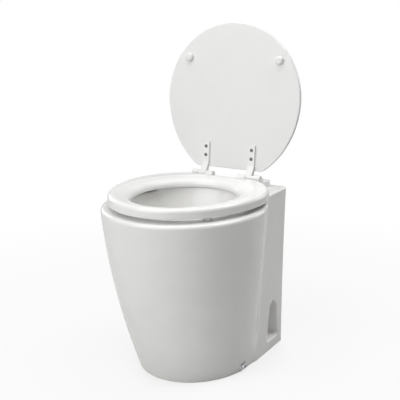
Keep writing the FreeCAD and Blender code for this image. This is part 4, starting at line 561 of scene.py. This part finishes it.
def pick(piece, test):
    """Pick, in edit mode, only the points whose place passes the test."""
    bpy.ops.mesh.select_all(action="DESELECT")
    bpy.ops.object.mode_set(mode="OBJECT")
    for point in piece.data.vertices:
        point.select = test(point.co)
    bpy.ops.object.mode_set(mode="EDIT")


def extend(distance):
    """Extrude the picked face by a distance along Z."""
    bpy.ops.mesh.extrude_region_move(TRANSFORM_OT_translate={"value": (0.0, 0.0, distance)})


def cut(piece, blade):
    """Cut the piece with the blade by a Boolean modifier that is applied at once."""
    bpy.context.view_layer.update()
    bpy.ops.object.select_all(action="DESELECT")
    bpy.context.view_layer.objects.active = piece
    modifier = piece.modifiers.new("cut", "BOOLEAN")
    modifier.object = blade
    modifier.solver = "EXACT"
    bpy.ops.object.modifier_apply(modifier=modifier.name)


def remove(piece):
    """Delete a pattern piece or a blade that isn't needed any more."""
    bpy.data.objects.remove(piece)


print("shaping helpers ready")

# %% [markdown]
# Screws with a cross recess hold the straps and the flanges of the discharge line. The recess could be
# drawn by a bump, but a bump has no depth, so it is cut. The blade is a cube that is stretched and
# narrowed at its foot, and it cuts in two directions.

# %% Cross recess
RECESS_LENGTH = 0.0046
RECESS_WIDTH = 0.0010
RECESS_DEPTH = 0.0016
RECESS_TAPER = (0.4, 0.7, 1.0)


def cut_cross(screw, top):
    """Cut a cross recess into the top of a screw with one tapered blade, turned once."""
    blade = add_primitive("cube", size=1.0)
    bpy.ops.transform.resize(value=(RECESS_LENGTH, RECESS_WIDTH, 2 * RECESS_DEPTH))
    pick(blade, lambda place: place.z < 0)
    bpy.ops.transform.resize(value=RECESS_TAPER)
    bpy.ops.object.mode_set(mode="OBJECT")
    blade.location.z = top
    for turn in (0.0, math.pi / 2):
        blade.rotation_euler.z = turn
        cut(screw, blade)
    remove(blade)


print("recess length", RECESS_LENGTH, "depth", RECESS_DEPTH)

# %% [markdown]
# A strap screw is countersunk: the foot of a cylinder narrows and runs on as the shank. A flange screw
# has a pan head: the foot is inset, and the shank runs on from the inner ring. On both, the top is inset
# and lifted twice into a low dome. A bevel on the whole would round the recess away, so only the dome is
# soft.

# %% Cross-recess screws
SCREW_SIDES = 40
DOME_STEPS = ((0.0010, 0.00035), (0.0013, 0.00025))
STRAP_SCREW = {"head_radius": 0.0043, "head_depth": 0.0019, "shank_radius": 0.0019, "length": 0.0115}
FLANGE_SCREW = {"head_radius": 0.0045, "head_depth": 0.0025, "shank_radius": 0.0025, "length": 0.0125}


def cross_screw(head_radius, head_depth, shank_radius, length, countersunk):
    """One screw along Z, with the middle of its head at the origin."""
    screw = add_primitive("cylinder", vertices=SCREW_SIDES, radius=head_radius, depth=head_depth)
    pick(screw, lambda place: place.z < 0)
    if countersunk:
        narrow = shank_radius / head_radius
        bpy.ops.transform.resize(value=(narrow, narrow, 1.0))
    else:
        bpy.ops.mesh.inset(thickness=head_radius - shank_radius)
    extend(head_depth - length)
    pick(screw, lambda place: place.z > 0)
    for width, rise in DOME_STEPS:
        bpy.ops.mesh.inset(thickness=width)
        bpy.ops.transform.translate(value=(0.0, 0.0, rise))
    bpy.ops.object.mode_set(mode="OBJECT")
    cut_cross(screw, max(point.co.z for point in screw.data.vertices))
    return screw


strap_screw = cross_screw(**STRAP_SCREW, countersunk=True)
flange_screw = cross_screw(**FLANGE_SCREW, countersunk=False)
print("screw faces", len(strap_screw.data.polygons), len(flange_screw.data.polygons))

# %% [markdown]
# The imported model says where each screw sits, so no place is typed in: the points of a screw node that
# lie furthest out along the screws' axis are the rims of the heads. Points close together belong to one
# screw, and the middle of its rim is its place.

# %% Find where screws sit
LEVEL_GAP = 0.0002


def node_points(node):
    """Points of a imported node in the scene's frame."""
    return [nodes[node].matrix_world @ point.co for point in nodes[node].data.vertices]


def outer_places(points, axis, spread):
    """Middles of the groups of points that lie furthest along the axis."""
    reach = max(point.dot(axis) for point in points)
    groups = []
    for point in points:
        if point.dot(axis) < reach - LEVEL_GAP:
            continue
        for group in groups:
            if (group[0] - point).length < spread:
                group.append(point)
                break
        else:
            groups.append([point])
    return [sum(group, Vector()) / len(group) for group in groups]


print("points of the lid's screws", len(node_points("lid_hinge_screws")))

# %% [markdown]
# A screw is modelled once and copied, and each copy has its own mesh. A copy is turned along its axis and
# moved, and then its turn and place are applied to the mesh. So its object stays at the origin, as the
# imported ones do, and patterns stay on the surface. A finished piece then gets its finish, the body that
# carries it and its material slot.

# %% Copies in place
SMOOTH_ANGLE = math.radians(35)


def copy_to(piece, name, place, axis):
    """Copy of a piece with its Z axis along the given axis, its place in its own mesh."""
    bpy.ops.object.select_all(action="DESELECT")
    piece.select_set(True)
    bpy.context.view_layer.objects.active = piece
    bpy.ops.object.duplicate(linked=False)
    copy = bpy.context.object
    copy.name = name
    copy.rotation_euler = axis.to_track_quat("Z", "Y").to_euler()
    copy.location = place
    bpy.ops.object.transform_apply(location=True, rotation=True, scale=False)
    bpy.ops.object.shade_smooth_by_angle(angle=SMOOTH_ANGLE)
    return copy


def dress(piece, finish, body):
    """Give a finished piece its finish, unless it has one, and its body and material slot."""
    if not piece.data.materials:
        piece.data.materials.append(finishes[finish])
    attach(piece, body)


print("copies ready")

# %% [markdown]
# The lid's screws look out of its inner face, whose lean is the turn that closes the lid, and the seat's
# look down. The discharge line has two flanges, so its screws look back or up, and those that are placed
# already are left out of the second search.

# %% Put the screws in place
HEAD_SPREAD = 0.012
SCREW_REACH = 0.017
BACK = Vector((0.0, 1.0, 0.0))
UP = Vector((0.0, 0.0, 1.0))


def put_screws(pattern, head_depth, node, body, finish, axes):
    """Copy a screw to every place of a screw node, which the copies replace."""
    left = node_points(node)
    count = 0
    for axis in axes:
        for place in outer_places(left, axis, HEAD_SPREAD):
            name = node.removesuffix("s") + "_" + str(count)
            copy = copy_to(pattern, name, place - axis * (head_depth / 2), axis)
            dress(copy, finish, body)
            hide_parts(node)
            left = [point for point in left if (point - place).length > SCREW_REACH]
            count += 1
    print(node, count)


joints = {joint["name"]: joint for joint in frame["joints"]}
lid_lean = math.radians(-joints["lid_hinge"]["range_deg"][0])
lid_outward = Vector((0.0, -math.sin(lid_lean), -math.cos(lid_lean)))
strap_depth = STRAP_SCREW["head_depth"]
put_screws(strap_screw, strap_depth, "lid_hinge_screws", "lid", "dark_steel", (lid_outward,))
put_screws(strap_screw, strap_depth, "seat_hinge_screws", "seat", "dark_steel", (-UP,))
put_screws(flange_screw, FLANGE_SCREW["head_depth"], "discharge_screws", "bowl", "plain_steel", (BACK, UP))
remove(strap_screw)
remove(flange_screw)

# %% [markdown]
# A hose spigot has barbs: rings with a saw-tooth section that let the hose slide on and not off. A
# section of three points is enough: a circle with three corners, pulled into the tooth and spun once
# round the spigot's axis. The spin ends where it began, so any doubled points are merged, and the normals
# are made to point out.

# %% One barb
BARB_BITE = 0.0003
BARB_CREST = 0.0006
BARB_STEPS = 72
SECTION_RADIUS = 0.001
SAME_PLACE = 0.0001
MERGE_GAP = 0.00001


def barb_ring(radius, rise, tooth):
    """One barb round Z that starts at the origin, with its ramp towards positive Z."""
    ring = add_primitive("circle", vertices=3, radius=SECTION_RADIUS, fill_type="NOTHING")
    bpy.ops.object.mode_set(mode="OBJECT")
    corners = [point.co.copy() for point in ring.data.vertices]
    bpy.ops.object.mode_set(mode="EDIT")
    root = radius - BARB_BITE
    section = ((root, 0.0, 0.0), (radius + rise, 0.0, BARB_CREST), (root, 0.0, tooth))
    for corner, target in zip(corners, section):
        pick(ring, lambda place: (place - corner).length < SAME_PLACE)
        bpy.ops.transform.translate(value=Vector(target) - corner)
    bpy.ops.mesh.select_all(action="SELECT")
    bpy.ops.mesh.spin(steps=BARB_STEPS, angle=2 * math.pi, center=(0.0, 0.0, 0.0), axis=UP)
    bpy.ops.mesh.select_all(action="SELECT")
    bpy.ops.mesh.remove_doubles(threshold=MERGE_GAP)
    bpy.ops.mesh.normals_make_consistent(inside=False)
    bpy.ops.object.mode_set(mode="OBJECT")
    return ring


print("barb steps", BARB_STEPS)

# %% [markdown]
# Each spigot has three barbs in a row, with the first close to its end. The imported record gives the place
# and the radius of both spigots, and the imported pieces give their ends, so the barbs fit at once.

# %% Barbs on the two spigots
SPIGOTS = {
    "discharge_spigot": {"node": "discharge_tail", "rise": 0.0016, "tooth": 0.0065, "pitch": 0.0085},
    "rinse_spigot": {"node": "valve_body", "rise": 0.0011, "tooth": 0.005, "pitch": 0.0065},
}
BARB_COUNT = 3
BARB_END_GAP = 0.002
mounts = {mount["name"]: mount for mount in frame["record"]["mounts"]}

for spigot, facts in SPIGOTS.items():
    radius = mounts[spigot]["dims"]["r_mm"] / 1000
    ring = barb_ring(radius, facts["rise"], facts["tooth"])
    spigot_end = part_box(facts["node"])[1].y
    place = Vector(mounts[spigot]["pos_m"])
    place.y = spigot_end - BARB_END_GAP - facts["tooth"]
    for number in range(BARB_COUNT):
        barb_place = place - BACK * (number * facts["pitch"])
        barb = copy_to(ring, spigot + "_barb_" + str(number), barb_place, BACK)
        dress(barb, "black_nylon", "bowl")
    remove(ring)
    print(spigot, "barbs", BARB_COUNT, "radius", radius)

# %% [markdown]
# A worm-drive hose clip is closed by a small screw that lies along the band. Its head is a hexagon with a
# slot: a cylinder with six sides whose top edge is bevelled, whose foot is extruded into a collar, and
# which a blade cuts.

# %% Clip screw
CLIP_HEAD_SIDES = 6
CLIP_HEAD_RADIUS = 0.0026
CLIP_HEAD_DEPTH = 0.003
CLIP_HEAD_EDGE = {"offset": 0.0004, "segments": 2}
CLIP_COLLAR = 0.0006
CLIP_COLLAR_FLARE = (1.15, 1.15, 1.0)
CLIP_SLOT = 0.0008

head = add_primitive("cylinder", vertices=CLIP_HEAD_SIDES, radius=CLIP_HEAD_RADIUS, depth=CLIP_HEAD_DEPTH)
pick(head, lambda place: place.z > 0)
bpy.ops.mesh.bevel(**CLIP_HEAD_EDGE, affect="EDGES")
pick(head, lambda place: place.z < 0)
extend(-CLIP_COLLAR)
bpy.ops.transform.resize(value=CLIP_COLLAR_FLARE)
bpy.ops.object.mode_set(mode="OBJECT")
slot_blade = add_primitive("cube", size=1.0)
bpy.ops.transform.resize(value=(4 * CLIP_HEAD_RADIUS, CLIP_SLOT, CLIP_HEAD_DEPTH / 2))
bpy.ops.object.mode_set(mode="OBJECT")
slot_blade.location.z = CLIP_HEAD_DEPTH / 2
cut(head, slot_blade)
remove(slot_blade)
print("clip screw faces", len(head.data.polygons))

# %% [markdown]
# One clip screw is copied to both clips, at the end of each screw housing. The housing is the part of a
# clip furthest back, so its place is found in the same way as the places of the screws.

# %% Put the clip screws in place
CLIP_SCREW_INSET = 0.0014
CLIP_HOUSING_HALF = 0.004
CLIP_HOUSING_SPREAD = 0.02
RIGHT = Vector((1.0, 0.0, 0.0))

clip_points = node_points("hose_clips")
clip_middle = sum(point.z for point in clip_points) / len(clip_points)
aside = CLIP_HOUSING_HALF + CLIP_COLLAR + CLIP_HEAD_DEPTH / 2
for number, upper in enumerate((False, True)):
    points = [point for point in clip_points if (point.z > clip_middle) == upper]
    housing = outer_places(points, BACK, CLIP_HOUSING_SPREAD)[0]
    head_place = housing + RIGHT * aside - BACK * CLIP_SCREW_INSET
    copy = copy_to(head, "clip_screw_" + str(number), head_place, RIGHT)
    dress(copy, "plain_steel", "bowl")
    print(copy.name, [round(value, 4) for value in housing])
remove(head)

# %% [markdown]
# A spring presses the rinse valve's plunger down and is pressed together when the coil lifts it. A coil
# of wire is a small circle that a Screw modifier turns round an axis while it climbs. The modifier is
# applied, and the two cut ends of the wire are filled.

# %% Wind the return spring
SPRING_WIRE = 0.00045
SPRING_RADIUS = 0.0034
SPRING_TURNS = 6
WIRE_SIDES = 12
STEPS_PER_TURN = 32

spring_low, spring_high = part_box("plunger_spring")
climb = spring_high.x - spring_low.x - 2 * SPRING_WIRE

wire = add_primitive("circle", vertices=WIRE_SIDES, radius=SPRING_WIRE, fill_type="NOTHING")
bpy.ops.transform.rotate(value=math.pi / 2, orient_axis="X", center_override=(0.0, 0.0, 0.0))
bpy.ops.transform.translate(value=(SPRING_RADIUS, 0.0, 0.0))
bpy.ops.object.mode_set(mode="OBJECT")
winding = wire.modifiers.new("winding", "SCREW")
winding.axis = "Z"
winding.iterations = SPRING_TURNS
winding.screw_offset = climb / SPRING_TURNS
winding.steps = STEPS_PER_TURN
winding.render_steps = STEPS_PER_TURN
bpy.ops.object.modifier_apply(modifier=winding.name)
bpy.ops.object.mode_set(mode="EDIT")
bpy.ops.mesh.select_all(action="SELECT")
bpy.ops.mesh.fill_holes(sides=0)
bpy.ops.mesh.select_all(action="SELECT")
bpy.ops.mesh.normals_make_consistent(inside=False)
bpy.ops.object.mode_set(mode="OBJECT")
print("spring points", len(wire.data.vertices))

# %% [markdown]
# The spring takes the place of the imported one, between the ends of that one's box, and gets a mesh of
# its own.

middle = (spring_low + spring_high) / 2
spring_start = Vector((spring_low.x + SPRING_WIRE, middle.y, middle.z))
spring = copy_to(wire, "return_spring", spring_start, RIGHT)
remove(wire)
dress(spring, "plain_steel", "bowl")
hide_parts("plunger_spring")
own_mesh(spring)

# %% [markdown]
# The chrome screws low on the skirt are the only bright metal outside. Chrome shows its shape by the
# bright lines on its rounded edges, so the screws and their washers are modelled again with real
# roundings. The screw is a cylinder with a bevelled top edge, whose foot is inset and extruded into the
# shank. A cylinder with six sides cuts the hole for the key. The faces in that hole get a second, dark
# material, which is painted shade for the shadow that falls inside the hole.

# %% Chrome screw
ROUND_SIDES = 64
SKIRT_HEAD_RADIUS = 0.0065
SKIRT_HEAD_DEPTH = 0.0065
SKIRT_HEAD_EDGE = {"offset": 0.0012, "segments": 4}
SKIRT_SHANK_RADIUS = 0.004
SKIRT_SHANK_LENGTH = 0.026
KEY_SIDES = 6
KEY_RADIUS = 0.0035
KEY_DEPTH = 0.004

bolt = add_primitive("cylinder", vertices=ROUND_SIDES, radius=SKIRT_HEAD_RADIUS, depth=SKIRT_HEAD_DEPTH)
pick(bolt, lambda place: place.z > 0)
bpy.ops.mesh.bevel(**SKIRT_HEAD_EDGE, affect="EDGES")
pick(bolt, lambda place: place.z < -SKIRT_HEAD_DEPTH / 4)
bpy.ops.mesh.inset(thickness=SKIRT_HEAD_RADIUS - SKIRT_SHANK_RADIUS)
extend(-SKIRT_SHANK_LENGTH)
bpy.ops.object.mode_set(mode="OBJECT")
key = add_primitive("cylinder", vertices=KEY_SIDES, radius=KEY_RADIUS, depth=2 * KEY_DEPTH)
bpy.ops.object.mode_set(mode="OBJECT")
key.location.z = SKIRT_HEAD_DEPTH / 2
cut(bolt, key)
remove(key)

# The dark second material paints the shade inside the key hole.
for finish in ("polished_chrome", "dark_steel"):
    bolt.data.materials.append(finishes[finish])
key_floor = SKIRT_HEAD_DEPTH / 2 - KEY_DEPTH - SAME_PLACE
bpy.ops.object.mode_set(mode="EDIT")
pick(bolt, lambda place: place.z > key_floor and place.xy.length < KEY_RADIUS + SAME_PLACE)
bolt.active_material_index = 1
bpy.ops.object.material_slot_assign()
bpy.ops.object.mode_set(mode="OBJECT")
print("chrome screw faces", len(bolt.data.polygons))

# %% [markdown]
# The washer is a disc whose outer edge is rounded over. A drill that is a little wider than the shank
# cuts out its middle.

# %% Chrome washer
WASHER_RADIUS = 0.0105
WASHER_DEPTH = 0.0026
WASHER_EDGE = {"offset": 0.0014, "segments": 5}
DRILL_SIDES = 48
DRILL_ROOM = 0.0002

washer = add_primitive("cylinder", vertices=ROUND_SIDES, radius=WASHER_RADIUS, depth=WASHER_DEPTH)
pick(washer, lambda place: place.z > 0)
bpy.ops.mesh.bevel(**WASHER_EDGE, affect="EDGES")
bpy.ops.object.mode_set(mode="OBJECT")
drill_radius = SKIRT_SHANK_RADIUS + DRILL_ROOM
drill = add_primitive("cylinder", vertices=DRILL_SIDES, radius=drill_radius, depth=4 * WASHER_DEPTH)
bpy.ops.object.mode_set(mode="OBJECT")
cut(washer, drill)
remove(drill)
print("chrome washer faces", len(washer.data.polygons))

# %% [markdown]
# Each side of the skirt gets one screw and one washer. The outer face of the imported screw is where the
# new head ends, and the washer lies right under the head.

# %% Put the chrome screws in place
SKIRT_HEAD_SPREAD = 0.03

for hand, axis in (("left", -RIGHT), ("right", RIGHT)):
    points = [point for point in node_points("skirt_screws") if point.dot(axis) > 0]
    face = outer_places(points, axis, SKIRT_HEAD_SPREAD)[0]
    in_head = face - axis * (SKIRT_HEAD_DEPTH / 2)
    under_head = face - axis * (SKIRT_HEAD_DEPTH + WASHER_DEPTH / 2)
    pieces = ((bolt, "skirt_screw", in_head), (washer, "skirt_screw_washer", under_head))
    for pattern, name, place in pieces:
        copy = copy_to(pattern, name + "_" + hand, place, axis)
        dress(copy, "polished_chrome", "bowl")
        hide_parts(name + "s")
    print("chrome screw", hand, [round(value, 4) for value in face])
remove(bolt)
remove(washer)
